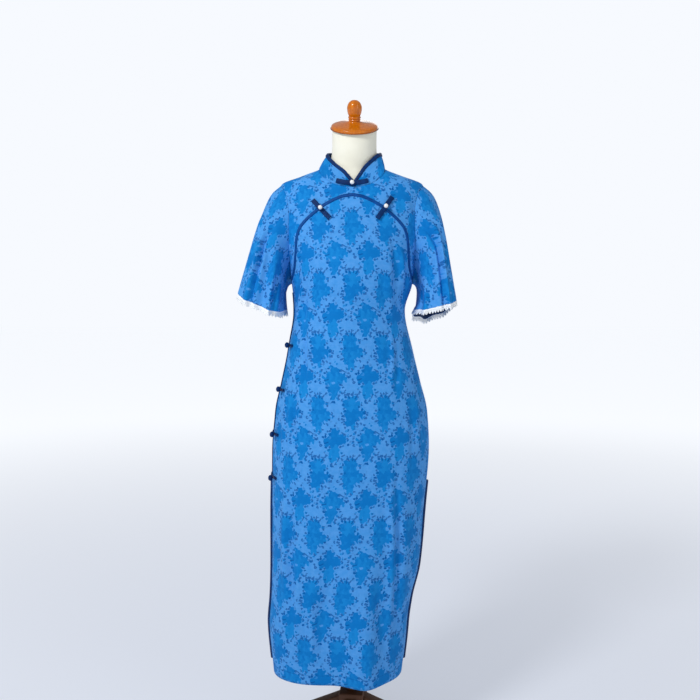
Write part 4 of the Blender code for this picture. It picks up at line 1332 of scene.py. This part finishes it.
def fold_depth(folds, fall, around):
    total = 0.0
    for fold in folds:
        off = (around - fold.around - fold.lean * fall + 180) % 360 - 180
        near = off / fold.width
        if abs(near) > FOLD_REACH:
            continue
        reach = fade(fall, fold.start, fold.start + FOLD_EASE)
        reach *= fade(fall, fold.end + FOLD_PAST, fold.end - FOLD_SHORT)
        total += fold.depth * reach * math.exp(-near * near)
    return total


def sleeve_point(table, folds, side, fall, around):
    """The sleeve: its tube, drawn in to the armhole at the top and folded towards the hem."""
    ring = sleeve_ring(table, side, fall, around)
    pull = 1 - fade(fall, 0.0, CAP_BLEND)
    point = ring + (armhole_point(side, around) - sleeve_ring(table, side, 0.0, around)) * pull
    out = (point - sleeve_middle(table, side, fall)).normalized()
    turn = math.radians(around)
    slow = math.cos((SLEEVE_WAVES - 2) * turn + 2 * side)
    wave = math.cos(SLEEVE_WAVES * turn + side) + SLOW_WAVE * slow
    away = 1 - CALM_OUTSIDE * math.cos(turn / 2) ** 8 - CALM_UNDERARM * math.sin(turn / 2) ** 12
    relief = wave * away * WAVE_DEPTH * fade(fall, 0.1, 1.0) * 0.5 + fold_depth(folds, fall, around)
    return point + out * relief


def make_sleeve(name, table, folds, side, finishes, wall):
    gap = Vector((side * CAP_SEAM, 0, 0))

    def made(column, row):
        around = 360 * (column % SLEEVE_COLUMNS) / SLEEVE_COLUMNS
        return sleeve_point(table, folds, side, row / SLEEVE_ROWS, around) + gap

    place = grid_points(SLEEVE_COLUMNS, SLEEVE_ROWS, made)
    hem = sleeve_middle(table, side, 1.0)
    along = (sleeve_ring(table, side, 1.0, 0) - sleeve_ring(table, side, 0.0, 0)).normalized()
    front = Vector((0, -1, 0))
    outside = along.cross(front) * side
    outside = outside if outside.x * side > 0 else -outside

    def mapped(column, row):
        """Girth at the sleeve's mean radius, and length along its axis."""
        away = place(column, row) - hem
        turn = math.atan2(away.dot(front), away.dot(outside)) if 0 < column < SLEEVE_COLUMNS else 0.0
        turn += 2 * math.pi if turn < 0 or column == SLEEVE_COLUMNS else 0.0
        return turn * SLEEVE_RADIUS, SLEEVE_MAP_START - away.dot(along)

    def core(point):
        return sleeve_middle(table, side, min(max((table[0].outer_z - point.z) / SLEEVE_FALL, 0.0), 1.0))

    shape = new_shape(SLEEVE_COLUMNS, SLEEVE_ROWS, place, mapped, core, closed=True)
    piece = add_piece(f"{name}_cloth", shape, finishes, [name])
    give_wall(piece, wall)
    return piece


def make_lace(name, table, folds, side, finish):
    """Scalloped edging that hangs from the sleeve's hem."""
    gap = Vector((side * CAP_SEAM, 0, 0))
    edges = []
    for column in range(LACE_COLUMNS):
        around = 360 * column / LACE_COLUMNS
        edge = sleeve_point(table, folds, side, 1.0, around)
        above = sleeve_point(table, folds, side, LACE_ABOVE, around)
        edges.append((edge + gap, (edge - above).normalized()))
    per_scallop = LACE_COLUMNS // LACE_SCALLOPS

    def cut_in(column):
        """How far the edge is cut in at a column, as a share of a scallop's depth."""
        share = (column % per_scallop) / per_scallop
        return (1 - math.sin(math.pi * share)) ** SCALLOP_POWER

    def place(column, row):
        edge, down = edges[column % LACE_COLUMNS]
        length = LACE_DEPTH - LACE_SCALLOP * cut_in(column)
        return edge + down * (length * (1 - row / LACE_ROWS) - LACE_LAP)

    def mapped(column, row):
        length = 1 - LACE_SCALLOP / LACE_DEPTH * cut_in(column)
        return column / per_scallop, length * (1 - row / LACE_ROWS)

    def core(point):
        return sleeve_middle(table, side, 1.0)

    shape = new_shape(LACE_COLUMNS, LACE_ROWS, place, mapped, core, closed=True)
    piece = add_piece(f"{name}_edging", shape, [finish], [name])
    give_wall(piece, LACE_WALL, lined=False)
    return piece


# Collar


def quarter_turn(turn):
    """Degrees from the nearer side of the neck."""
    return abs(turn) if abs(turn) <= 90 else 180 - abs(turn)


def collar_point(turn, rise):
    """Collar's outer face: turn runs round the neck, rise from its seam to its top edge."""
    front = turn > 0
    seam_angle = NECK_ANGLE + (90 - NECK_ANGLE) * quarter_turn(turn) / 90
    x, z = top_edge(seam_angle, front)
    x = math.copysign(x, math.cos(math.radians(turn)))
    base = on_body(angle_at(x, z, front), z) + Vector((0, 0, COLLAR_RAISE))
    row = smooth(COLLAR_TOP, math.copysign(quarter_turn(turn), turn))
    swing = math.radians(turn)
    skew = COLLAR_SKEW * math.sin(2 * swing) if turn > 0 else 0.0
    x = COLLAR_TOP_SHIFT + COLLAR_TOP_RADIUS * math.cos(swing)
    top = Vector((x, -row.reach * math.sin(swing), row.z + skew))
    point = base.lerp(top, rise)
    out = Vector((point.x, point.y, 0)).normalized()
    return point + out * COLLAR_SWELL * math.sin(math.pi * rise)


def collar_turn(share):
    """From the front opening on the wearer's left, round the back, to the wearer's right front."""
    turn = 90 - COLLAR_OPEN - (360 - 2 * COLLAR_OPEN) * share
    return turn if turn > -180 else turn + 360


def make_collar(cloth, reverse, navy, wall):
    def place(column, row):
        return collar_point(collar_turn(column / COLLAR_COLUMNS), row / COLLAR_ROWS)

    def mapped(column, row):
        return COLLAR_MAP[0] * column / COLLAR_COLUMNS, COLLAR_MAP_START + COLLAR_MAP[1] * row / COLLAR_ROWS

    shape = new_shape(COLLAR_COLUMNS, COLLAR_ROWS, place, mapped, body_core)
    piece = add_piece("collar_cloth", shape, (cloth, reverse), ["collar"])
    give_wall(piece, wall)

    ends = [PIPING_START + PIPING_RISE * step for step in range(PIPING_STEPS)]
    path = [(0.0, rise) for rise in ends]
    path += [(step / COLLAR_STEPS, 1.0) for step in range(1, COLLAR_STEPS)]
    path += [(1.0, rise) for rise in reversed(ends)]
    stations = []
    for share, rise in path:
        turn = collar_turn(min(max(share, COLLAR_INSET_SHARE), 1 - COLLAR_INSET_SHARE))
        height = (collar_point(turn, 1.0) - collar_point(turn, 0.0)).length
        rise = min(rise, 1 - COLLAR_INSET / height)
        point = collar_point(turn, rise)
        up = collar_point(turn, rise + NORMAL_SHARE) - collar_point(turn, rise - NORMAL_SHARE)
        along = collar_point(turn + NORMAL_TURN, rise) - collar_point(turn - NORMAL_TURN, rise)
        stations.append((point, up.cross(along).normalized()))
    shape = strip_shape(stations, COLLAR_WIDTH, BINDING_HEIGHT, sink=STRIP_SINK / 2)
    add_trim("collar_piping", shape, navy, "collar_binding")


# Bindings


def levels_between(low, high):
    return [low + (high - low) * step / BINDING_STEPS for step in range(BINDING_STEPS + 1)]


def make_bindings(navy, arch_navy):
    stations = []
    start = YOKE_START * ARCH_START
    for step in range(ARCH_STEPS + 1):
        x, z = arch(start + (180 - 2 * start) * step / ARCH_STEPS)
        stations.append(station(angle_at(x, z), z))
    shape = strip_shape(stations, ARCH_WIDTH, BINDING_HEIGHT)
    add_trim("arch_piping", shape, arch_navy, "arch_binding")

    stations = []
    for z in levels_between(SLIT_TOP_Z, OPENING_TOP_Z):
        inset = EDGE_INSET + SIDE_LAP * fade(z, SLIT_TOP_Z, LAP_FULL_Z)
        stations.append(station(180 - inset, z))
    shape = strip_shape(stations, SIDE_WIDTH, BINDING_HEIGHT)
    add_trim("side_piping", shape, navy, "side_binding")

    slits = (("left_front", 1, 0), ("left_back", -1, 0), ("right_front", -1, 180), ("right_back", 1, -180))
    for name, sign, line in slits:
        lean = Vector((0, -SLIT_LEAN if name.endswith("front") else SLIT_LEAN, 0))
        stations = []
        for z in levels_between(SLIT_BINDING_Z, SLIT_TOP_Z):
            point, normal = station(line + sign * (side_edge(z) + SLIT_INSET), z)
            stations.append((point + normal * SLIT_LIFT, (normal + lean).normalized()))
        shape = strip_shape(stations, SLIT_WIDTH, SLIT_HEIGHT)
        add_trim(f"slit_piping_{name}", shape, navy, f"slit_binding_{name}")


# Frogs, pearls and knots


def bar_shape(half, width, height, place):
    """A bar of satin with square ends: place(run) gives a point and its normal at a run from its middle."""
    stations = [place(half * (2 * step / BAR_STEPS - 1)) for step in range(BAR_STEPS + 1)]
    shape = strip_shape(stations, width, height, sides=BAR_SIDES, boxy=BAR_BOXY)
    rims = [edge for edge in shape.edges if edge.calc_face_angle(0) > RIM_ANGLE]
    bevel_edges(shape, rims, height * BAR_BEVEL, 2)
    return shape


def pearl_shape(node):
    """A round bead with the mouth of its bore sunk in at top and bottom."""
    low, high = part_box(node)
    radius = (high.z - low.z) / 2
    shape = bmesh.new()
    bmesh.ops.create_uvsphere(shape, u_segments=PEARL_TURNS, v_segments=PEARL_RINGS, radius=radius)
    for vert in shape.verts:
        if math.hypot(vert.co.x, vert.co.y) < radius * BORE_SHARE:
            vert.co.z *= BORE_SINK
    bmesh.ops.translate(shape, vec=(low + high) / 2, verts=shape.verts)
    return shape


def add_frog(side, half, place, navy, pearl):
    """A frog's bar and its pearl."""
    add_trim(f"frog_{side}_cord", bar_shape(half, FROG_WIDTH, FROG_HEIGHT, place), navy, f"frog_{side}")
    add_piece(f"pearl_{side}_bead", pearl_shape(f"pearl_{side}"), [pearl], [f"pearl_{side}"])


def make_frogs(navy, pearl):
    for side, start, end in FROGS:
        span = Vector((end[0] - start[0], end[1] - start[1]))
        centre = Vector(((start[0] + end[0]) / 2, (start[1] + end[1]) / 2))
        along = span.normalized()

        def place(run):
            x, z = centre + along * run
            return station(angle_at(x, z), z, FROG_LIFT)

        add_frog(side, span.length / 2, place, navy, pearl)

    def place(run):
        z = COLLAR_FROG_Z + COLLAR_FROG_BOW * (run / COLLAR_FROG_HALF) ** 2
        low = z - FROG_WIDTH / 2
        face = on_body(angle_at(run, low), low)
        out = Vector((run, face.y, 0)).normalized()
        return Vector((run, face.y, z)) + out * COLLAR_FROG_OUT, out

    add_frog("collar", COLLAR_FROG_HALF, place, navy, pearl)


def knot_shape(node):
    """A ball knot: bands of cord round one another over a core."""
    low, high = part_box(node)
    centre, radius = (low + high) / 2, (high.z - low.z) / 2
    cord = radius * KNOT_CORD
    shape = bmesh.new()
    bmesh.ops.create_uvsphere(shape, u_segments=20, v_segments=12, radius=radius * KNOT_CORE)
    for tilt, axis in KNOT_TILTS:
        section = bmesh.ops.create_circle(shape, segments=8, radius=cord, cap_ends=False)["verts"]
        bmesh.ops.rotate(shape, verts=section, matrix=Matrix.Rotation(math.radians(90), 3, "X"))
        bmesh.ops.translate(shape, verts=section, vec=(radius - cord, 0, 0))
        edges = dict.fromkeys(edge for vert in section for edge in vert.link_edges)
        bmesh.ops.spin(
            shape, geom=[*edges, *section], cent=(0, 0, 0), axis=(0, 0, 1),
            angle=2 * math.pi, steps=KNOT_STEPS, use_merge=True,
        )
        moved = [vert for vert in shape.verts if not vert.tag]
        turn = Matrix.Rotation(math.radians(tilt), 3, axis)
        bmesh.ops.rotate(shape, verts=moved, cent=(0, 0, 0), matrix=turn)
        for vert in shape.verts:
            vert.tag = True
    bmesh.ops.recalc_face_normals(shape, faces=shape.faces)
    bmesh.ops.scale(shape, vec=((high.x - low.x) / (high.z - low.z), 1, 1), verts=shape.verts)
    bmesh.ops.translate(shape, vec=centre, verts=shape.verts)
    return shape


def make_side_knots(navy):
    """Short looped bars over the side opening, each with a ball knot."""
    half = math.radians(SIDE_FROG_HALF) * SIDE_FROG_REACH
    for number, height in enumerate(KNOT_HEIGHTS, 1):

        def place(run):
            angle = SIDE_FROG_ANGLE + math.degrees(run / SIDE_FROG_REACH)
            return station(angle if angle <= 180 else angle - 360, height, FROG_LIFT)

        frog, knot = f"side_frog_{number}", f"side_knot_{number}"
        add_trim(f"{frog}_cord", bar_shape(half, SIDE_FROG_WIDTH, SIDE_FROG_HEIGHT, place), navy, frog)
        add_trim(f"{knot}_ball", knot_shape(knot), navy, knot)


# Form and stand


def form_point(z, turn):
    """Point of the form's jersey at a height and an angle, leaning forward at the neck."""
    across, depth = math.cos(turn), math.sin(turn)

    def torso(height):
        x, y = oval(smooth(TORSO, height), smooth(DRESS, height).power, across, depth)
        return Vector((x, y, height))

    def neck(height):
        row = smooth(NECK, height)
        tilt = math.radians(row.tilt)
        y = -row.half_depth * depth
        x = row.shift + row.half_width * across
        return Vector((x, row.lean + y * math.cos(tilt), row.z + y * math.sin(tilt)))

    if z <= TORSO[-1].z:
        return torso(z)
    if z >= NECK[0].z:
        return neck(z)
    share = (z - TORSO[-1].z) / (NECK[0].z - TORSO[-1].z)
    return torso(TORSO[-1].z).lerp(neck(NECK[0].z), share)


def make_form(jersey, lacquer):
    columns, rows = FORM_COLUMNS, FORM_ROWS
    top = NECK[-1].z

    def place(column, row):
        z = FORM_BOTTOM_Z + (top - FORM_BOTTOM_Z) * row / rows
        return form_point(z, 2 * math.pi * (column % columns) / columns)

    def mapped(column, row):
        return column / columns, row / rows

    shape = new_shape(columns, rows, place, mapped, body_core, closed=True)
    fill_rims(shape)
    add_piece("form_jersey", shape, [jersey], ["form_torso"])

    shape = bmesh.new()
    outline = [shape.verts.new((radius, 0, height)) for radius, height in smooth_profile(CAP_PROFILE)]
    edges = [shape.edges.new(pair) for pair in zip(outline, outline[1:])]
    bmesh.ops.spin(
        shape, geom=outline + edges, cent=(0, 0, 0), axis=(0, 0, 1),
        angle=2 * math.pi, steps=CAP_STEPS, use_merge=True,
    )
    bmesh.ops.remove_doubles(shape, verts=shape.verts, dist=1e-6)
    bmesh.ops.recalc_face_normals(shape, faces=shape.faces)
    bmesh.ops.rotate(shape, verts=shape.verts, cent=(0, 0, 0), matrix=Matrix.Rotation(CAP_TILT, 3, "X"))
    bmesh.ops.translate(shape, verts=shape.verts, vec=CAP_CENTRE)
    add_piece("neck_cap_turning", shape, [lacquer], ["neck_cap"], angle=50)


def smooth_profile(profile, between_points=5):
    """A turned profile with more points, rounded through the given ones."""
    points = [Vector(point) for point in profile]
    made = []
    for index in range(len(points) - 1):
        before = points[max(index - 1, 0)]
        start, end = points[index], points[index + 1]
        after = points[min(index + 2, len(points) - 1)]
        for step in range(between_points):
            t = step / between_points
            point = hermite(start, end, (end - before) * 0.5, (after - start) * 0.5, t)
            made.append((max(point.x, 0.0), point.y))
    made.append(tuple(points[-1]))
    return made


def leg_outline():
    """Side view of a leg: distance from the pole, and height."""
    start = HUB_SIDE / 2 + GAP
    top, bottom = [], []
    for step in range(LEG_STEPS + 1):
        share = step / LEG_STEPS
        distance = start + (LEG_REACH - start) * share
        crest = TOE_RISE + LEG_RISE * (1 - share) ** 1.5 + LEG_SWELL * math.sin(math.pi * share)
        depth = LEG_DEPTH - (LEG_DEPTH - TOE_DEPTH) * share
        top.append((distance, crest))
        bottom.append((distance, max(crest - depth, 0.0) if share < SOLE_START else 0.0))
    return top + bottom[::-1]


def bevel_edges(shape, edges, width, segments=3):
    bmesh.ops.bevel(
        shape, geom=edges, offset=width, segments=segments, profile=0.5, affect="EDGES", material=-1
    )


def turn_round(shape, degrees):
    spin = Matrix.Rotation(math.radians(degrees), 3, "Z")
    bmesh.ops.rotate(shape, verts=shape.verts, cent=(0, 0, 0), matrix=spin)


def make_stand(wood):
    shape = bmesh.new()
    height = HUB_TOP_Z - HUB_BOTTOM_Z
    bmesh.ops.create_cube(shape, size=1.0)
    bmesh.ops.scale(shape, vec=(HUB_SIDE, HUB_SIDE, height), verts=shape.verts)
    bmesh.ops.translate(shape, vec=(0, 0, HUB_BOTTOM_Z + height / 2), verts=shape.verts)
    bevel_edges(shape, shape.edges[:], WOOD_BEVEL)
    turn_round(shape, LEG_TURN)
    add_piece("hub_block", shape, [wood], ["hub"])

    shape = bmesh.new()
    low, high = HUB_TOP_Z + GAP, FORM_BOTTOM_Z - GAP
    bmesh.ops.create_cone(
        shape, segments=POLE_SIDES, cap_ends=True, radius1=POLE_RADIUS, radius2=POLE_RADIUS, depth=high - low
    )
    rims = [edge for edge in shape.edges if abs(edge.verts[0].co.z - edge.verts[1].co.z) < 1e-6]
    bevel_edges(shape, rims, POLE_BEVEL)
    bmesh.ops.translate(shape, vec=(0, 0, (low + high) / 2), verts=shape.verts)
    add_piece("pole_turning", shape, [wood], ["pole"])

    for number in range(4):
        shape = bmesh.new()
        corners = [shape.verts.new((distance, -LEG_THICK / 2, rise)) for distance, rise in leg_outline()]
        bmesh.ops.remove_doubles(shape, verts=shape.verts, dist=1e-6)
        face = shape.faces.new([vert for vert in corners if vert.is_valid])
        grown = bmesh.ops.extrude_face_region(shape, geom=[face])["geom"]
        moved = [item for item in grown if isinstance(item, bmesh.types.BMVert)]
        bmesh.ops.translate(shape, verts=moved, vec=(0, LEG_THICK, 0))
        bmesh.ops.recalc_face_normals(shape, faces=shape.faces)
        sides = [edge for edge in shape.edges if abs(edge.verts[0].co.y - edge.verts[1].co.y) < 1e-6]
        bevel_edges(shape, sides, WOOD_BEVEL)
        turn_round(shape, LEG_TURN + 90 * number)
        add_piece(f"leg_{number + 1}_carving", shape, [wood], [f"leg_{number + 1}"])


# Studio


def add_light(name, place, target, size, power):
    data = bpy.data.lights.new(name, "AREA")
    data.shape = "DISK"
    data.size = size
    data.energy = power
    light = bpy.data.objects.new(name, data)
    light.location = place
    light.rotation_euler = (Vector(target) - Vector(place)).to_track_quat("-Z", "Y").to_euler()
    bpy.context.scene.collection.objects.link(light)


def make_studio(settings):
    shape = bmesh.new()
    bmesh.ops.create_grid(shape, x_segments=8, y_segments=8, size=FLOOR_SIDE)
    mesh = bpy.data.meshes.new("studio_floor")
    shape.to_mesh(mesh)
    shape.free()
    floor = bpy.data.objects.new("studio_floor", mesh)
    bpy.context.scene.collection.objects.link(floor)
    maker = Maker("pale_floor")
    away = maker.vector("LENGTH", maker.place(), output=1)
    tone = maker.mix(away.rise(FLOOR_NEAR, FLOOR_FAR), settings.floor, settings.far_floor)
    finish = maker.finish(
        base_color=tone, roughness=0.9, specular_ior_level=0.1, emission_color=tone,
        emission_strength=settings.floor_glow,
    )
    mesh.materials.append(finish)

    world = bpy.data.worlds.new("soft_studio")
    world.use_nodes = True
    nodes, links = world.node_tree.nodes, world.node_tree.links
    seen = nodes["Background"]
    seen.inputs["Color"].default_value = (*settings.backdrop, 1.0)
    around = nodes.new("ShaderNodeBackground")
    around.inputs["Color"].default_value = (*settings.backdrop, 1.0)
    around.inputs["Strength"].default_value = settings.sky
    which = nodes.new("ShaderNodeMixShader")
    links.new(nodes.new("ShaderNodeLightPath").outputs["Is Camera Ray"], which.inputs["Fac"])
    links.new(around.outputs["Background"], which.inputs[1])
    links.new(seen.outputs["Background"], which.inputs[2])
    links.new(which.outputs["Shader"], nodes["World Output"].inputs["Surface"])
    bpy.context.scene.world = world
    bpy.context.scene.view_settings.view_transform = "Standard"
    for name, place, target, size in LIGHTS:
        add_light(name, place, target, size, settings.key if name == "key" else settings.fill)

    camera = bpy.data.objects.new("camera", bpy.data.cameras.new("camera"))
    camera.data.lens = LENS
    camera.data.clip_start = 0.01
    camera.location = CAMERA_PLACE
    camera.rotation_euler = (math.radians(CAMERA_PITCH), 0, 0)
    bpy.context.scene.collection.objects.link(camera)
    bpy.context.scene.camera = camera


def colour_property(name, description, default):
    return FloatVectorProperty(
        name=name, description=description, subtype="COLOR", size=3, min=0.0, max=1.0, default=default
    )


class ClothSettings(bpy.types.PropertyGroup):
    """Sizes and colours of the flowered cloth and its lace."""

    wall: FloatProperty(
        name="Thickness", description="Thickness of the cloth", default=0.0012, min=0.0005, unit="LENGTH"
    )
    repeat_width: FloatProperty(
        name="Repeat width", description="Width between two bouquets of a row", default=0.072, unit="LENGTH"
    )
    repeat_height: FloatProperty(
        name="Repeat height", description="Height between two like rows", default=0.134, unit="LENGTH"
    )
    hem_turn: FloatProperty(
        name="Hem turn", description="Height of the turned-up hem", default=0.022, unit="LENGTH"
    )
    threads: FloatProperty(name="Threads", description="Threads in a metre of cloth", default=1300.0)
    ground: colour_property("Ground", "Colour between the flowers", (0.060, 0.300, 0.730))
    ground_light: colour_property("Light ground", "Lighter ground", (0.086, 0.332, 0.765))
    deep_flower: colour_property("Deep flower", "Middle of the bouquets", (0.000, 0.172, 0.540))
    soft_flower: colour_property("Soft flower", "Lower flowers of the bouquets", (0.006, 0.232, 0.635))
    leaf: colour_property("Leaf", "Curled leaves, twigs and specks", (0.000, 0.070, 0.300))
    reverse: colour_property("Reverse", "Wrong side of the cloth", (0.003, 0.022, 0.085))
    reverse_light: colour_property("Light reverse", "Paler patches of the wrong side", (0.006, 0.040, 0.140))
    lace: colour_property("Lace", "Lace thread", (0.97, 0.985, 0.99))
    lace_shade: colour_property("Lace shade", "Lace thread in its hollows", (0.86, 0.90, 0.94))


class TrimSettings(bpy.types.PropertyGroup):
    """Colours of the bindings, frogs and pearls."""

    navy: colour_property("Navy", "Bindings and frogs", (0.000, 0.018, 0.092))
    navy_light: colour_property("Light navy", "Where the satin catches light", (0.001, 0.032, 0.145))
    arch: colour_property("Arch", "Binding of the arch", (0.000, 0.052, 0.235))
    arch_light: colour_property("Light arch", "Where the arch catches light", (0.001, 0.070, 0.300))
    pearl: colour_property("Pearl", "Pearl buttons", (0.84, 0.87, 0.95))
    pearl_light: colour_property("Light pearl", "Lighter clouds of the pearls", (0.92, 0.94, 1.0))


class FormSettings(bpy.types.PropertyGroup):
    """Colours of the dress form and the stand."""

    jersey: colour_property("Jersey", "Cover of the form", (0.86, 0.845, 0.72))
    jersey_shade: colour_property("Jersey shade", "Cover of the form, in its shades", (0.83, 0.81, 0.68))
    lacquer: colour_property("Lacquer", "Neck cap", (0.640, 0.180, 0.003))
    lacquer_dark: colour_property("Dark lacquer", "Grain of the neck cap", (0.500, 0.120, 0.001))
    # Painted shade: the dark colour painted on the underside of the neck cap's disc, where its shadow falls.
    rim: colour_property("Rim", "Underside of the neck cap's disc", (0.100, 0.024, 0.004))
    wood: colour_property("Wood", "Stand", (0.120, 0.030, 0.010))
    wood_dark: colour_property("Dark wood", "Grain of the stand", (0.030, 0.009, 0.005))


class StudioSettings(bpy.types.PropertyGroup):
    """Floor, backdrop and lights."""

    floor: colour_property("Floor", "Colour of the floor round the object", (0.465, 0.490, 0.545))
    far_floor: colour_property("Far floor", "Colour of the floor far away", (0.830, 0.847, 0.874))
    backdrop: colour_property("Backdrop", "Colour behind the object", (0.93, 0.955, 1.0))
    sky: FloatProperty(name="Ambient light", description="Strength of the light all round", default=0.40)
    floor_glow: FloatProperty(
        name="Floor glow", description="Keeps the floor as pale as the backdrop", default=0.74
    )
    key: FloatProperty(name="Key light", description="Power of the main light", default=64.0)
    fill: FloatProperty(name="Fill light", description="Power of the other lights", default=8.0)


class CHEONGSAM_OT_panels(bpy.types.Operator):
    """Make the front, back and yoke"""

    bl_idname = "cheongsam.panels"
    bl_label = "Front, Back and Yoke"

    def execute(self, context):
        settings = context.scene.cheongsam_cloth
        make_panels(finish_named("cloth", context), finish_named("reverse", context), settings.wall)
        return {"FINISHED"}


class CHEONGSAM_OT_sleeves(bpy.types.Operator):
    """Make the two flared sleeves and their lace"""

    bl_idname = "cheongsam.sleeves"
    bl_label = "Sleeves and Lace"

    def execute(self, context):
        settings = context.scene.cheongsam_cloth
        finishes = (finish_named("cloth", context), finish_named("reverse", context))
        lace = finish_named("lace", context)
        sides = (("right", SLEEVE_RIGHT, RIGHT_FOLDS, -1), ("left", SLEEVE_LEFT, LEFT_FOLDS, 1))
        for name, table, folds, side in sides:
            sleeve = make_sleeve(f"sleeve_{name}", table, folds, side, finishes, settings.wall)
            edging = make_lace(f"lace_{name}", table, folds, side, lace)
        return {"FINISHED"}


class CHEONGSAM_OT_collar(bpy.types.Operator):
    """Make the standing collar and its piping"""

    bl_idname = "cheongsam.collar"
    bl_label = "Collar"

    def execute(self, context):
        settings = context.scene.cheongsam_cloth
        finishes = [finish_named(name, context) for name in ("cloth", "reverse", "navy")]
        make_collar(*finishes, settings.wall)
        return {"FINISHED"}


class CHEONGSAM_OT_bindings(bpy.types.Operator):
    """Make the piping of the arch, the side opening and the slits"""

    bl_idname = "cheongsam.bindings"
    bl_label = "Bindings"

    def execute(self, context):
        make_bindings(finish_named("navy", context), finish_named("arch", context))
        return {"FINISHED"}


class CHEONGSAM_OT_frogs(bpy.types.Operator):
    """Make the three frogs and their pearls"""

    bl_idname = "cheongsam.frogs"
    bl_label = "Frogs and Pearls"

    def execute(self, context):
        make_frogs(finish_named("navy", context), finish_named("pearl", context))
        return {"FINISHED"}


class CHEONGSAM_OT_side_knots(bpy.types.Operator):
    """Make the four knot buttons of the side opening"""

    bl_idname = "cheongsam.side_knots"
    bl_label = "Side Knots"

    def execute(self, context):
        make_side_knots(finish_named("navy", context))
        return {"FINISHED"}


class CHEONGSAM_OT_form(bpy.types.Operator):
    """Make the jersey form and its turned neck cap"""

    bl_idname = "cheongsam.form"
    bl_label = "Dress Form"

    def execute(self, context):
        make_form(finish_named("jersey", context), finish_named("lacquer", context))
        return {"FINISHED"}


class CHEONGSAM_OT_stand(bpy.types.Operator):
    """Make the hub, pole and four legs"""

    bl_idname = "cheongsam.stand"
    bl_label = "Stand"

    def execute(self, context):
        make_stand(finish_named("wood", context))
        return {"FINISHED"}


class CHEONGSAM_OT_studio(bpy.types.Operator):
    """Make the floor, the lights and the camera"""

    bl_idname = "cheongsam.studio"
    bl_label = "Studio"

    def execute(self, context):
        make_studio(context.scene.cheongsam_studio)
        return {"FINISHED"}


OPERATORS = (
    CHEONGSAM_OT_panels,
    CHEONGSAM_OT_sleeves,
    CHEONGSAM_OT_collar,
    CHEONGSAM_OT_bindings,
    CHEONGSAM_OT_frogs,
    CHEONGSAM_OT_side_knots,
    CHEONGSAM_OT_form,
    CHEONGSAM_OT_stand,
    CHEONGSAM_OT_studio,
)


class CHEONGSAM_PT_sidebar(bpy.types.Panel):
    """Lists the pieces of the cheongsam in the sidebar"""

    bl_idname = "CHEONGSAM_PT_sidebar"
    bl_label = "Cheongsam"
    bl_space_type = "VIEW_3D"
    bl_region_type = "UI"
    bl_category = "Cheongsam"

    def draw(self, context):
        for operator in OPERATORS:
            self.layout.operator(operator.bl_idname)


SETTINGS = {
    "cheongsam_cloth": ClothSettings,
    "cheongsam_trim": TrimSettings,
    "cheongsam_form": FormSettings,
    "cheongsam_studio": StudioSettings,
}


def finish_named(name, context):
    """The material of a finish, made the first time that a piece asks for it."""
    scene = context.scene
    cloth, trim, form = scene.cheongsam_cloth, scene.cheongsam_trim, scene.cheongsam_form
    makers = {
        "cloth": ("blue_flowered_cloth", lambda: make_flowered_cloth(cloth)),
        "reverse": ("cloth_reverse", lambda: make_cloth_back(cloth)),
        "lace": ("white_lace", lambda: make_lace_thread(cloth)),
        "navy": ("navy_satin", lambda: make_binding_cloth("navy_satin", trim.navy, trim.navy_light)),
        "arch": ("arch_satin", lambda: make_binding_cloth("arch_satin", trim.arch, trim.arch_light)),
        "pearl": ("pearl", lambda: make_pearl(trim)),
        "jersey": ("cream_jersey", lambda: make_jersey(form)),
        "lacquer": ("orange_lacquer", lambda: make_lacquer(form)),
        "wood": ("dark_wood", lambda: make_wood(form)),
    }
    key, make = makers[name]
    return bpy.data.materials.get(key) or make()


def register():
    for kind in (*SETTINGS.values(), *OPERATORS, CHEONGSAM_PT_sidebar):
        bpy.utils.register_class(kind)
    for name, kind in SETTINGS.items():
        setattr(bpy.types.Scene, name, PointerProperty(type=kind))


def unregister():
    for name in SETTINGS:
        delattr(bpy.types.Scene, name)
    for kind in reversed((*SETTINGS.values(), *OPERATORS, CHEONGSAM_PT_sidebar)):
        bpy.utils.unregister_class(kind)


def main():
    register()
    bpy.ops.cheongsam.studio()
    bpy.ops.cheongsam.panels()
    bpy.ops.cheongsam.sleeves()
    bpy.ops.cheongsam.collar()
    bpy.ops.cheongsam.bindings()
    bpy.ops.cheongsam.frogs()
    bpy.ops.cheongsam.side_knots()
    bpy.ops.cheongsam.form()
    bpy.ops.cheongsam.stand()


if __name__ == "__main__":
    main()
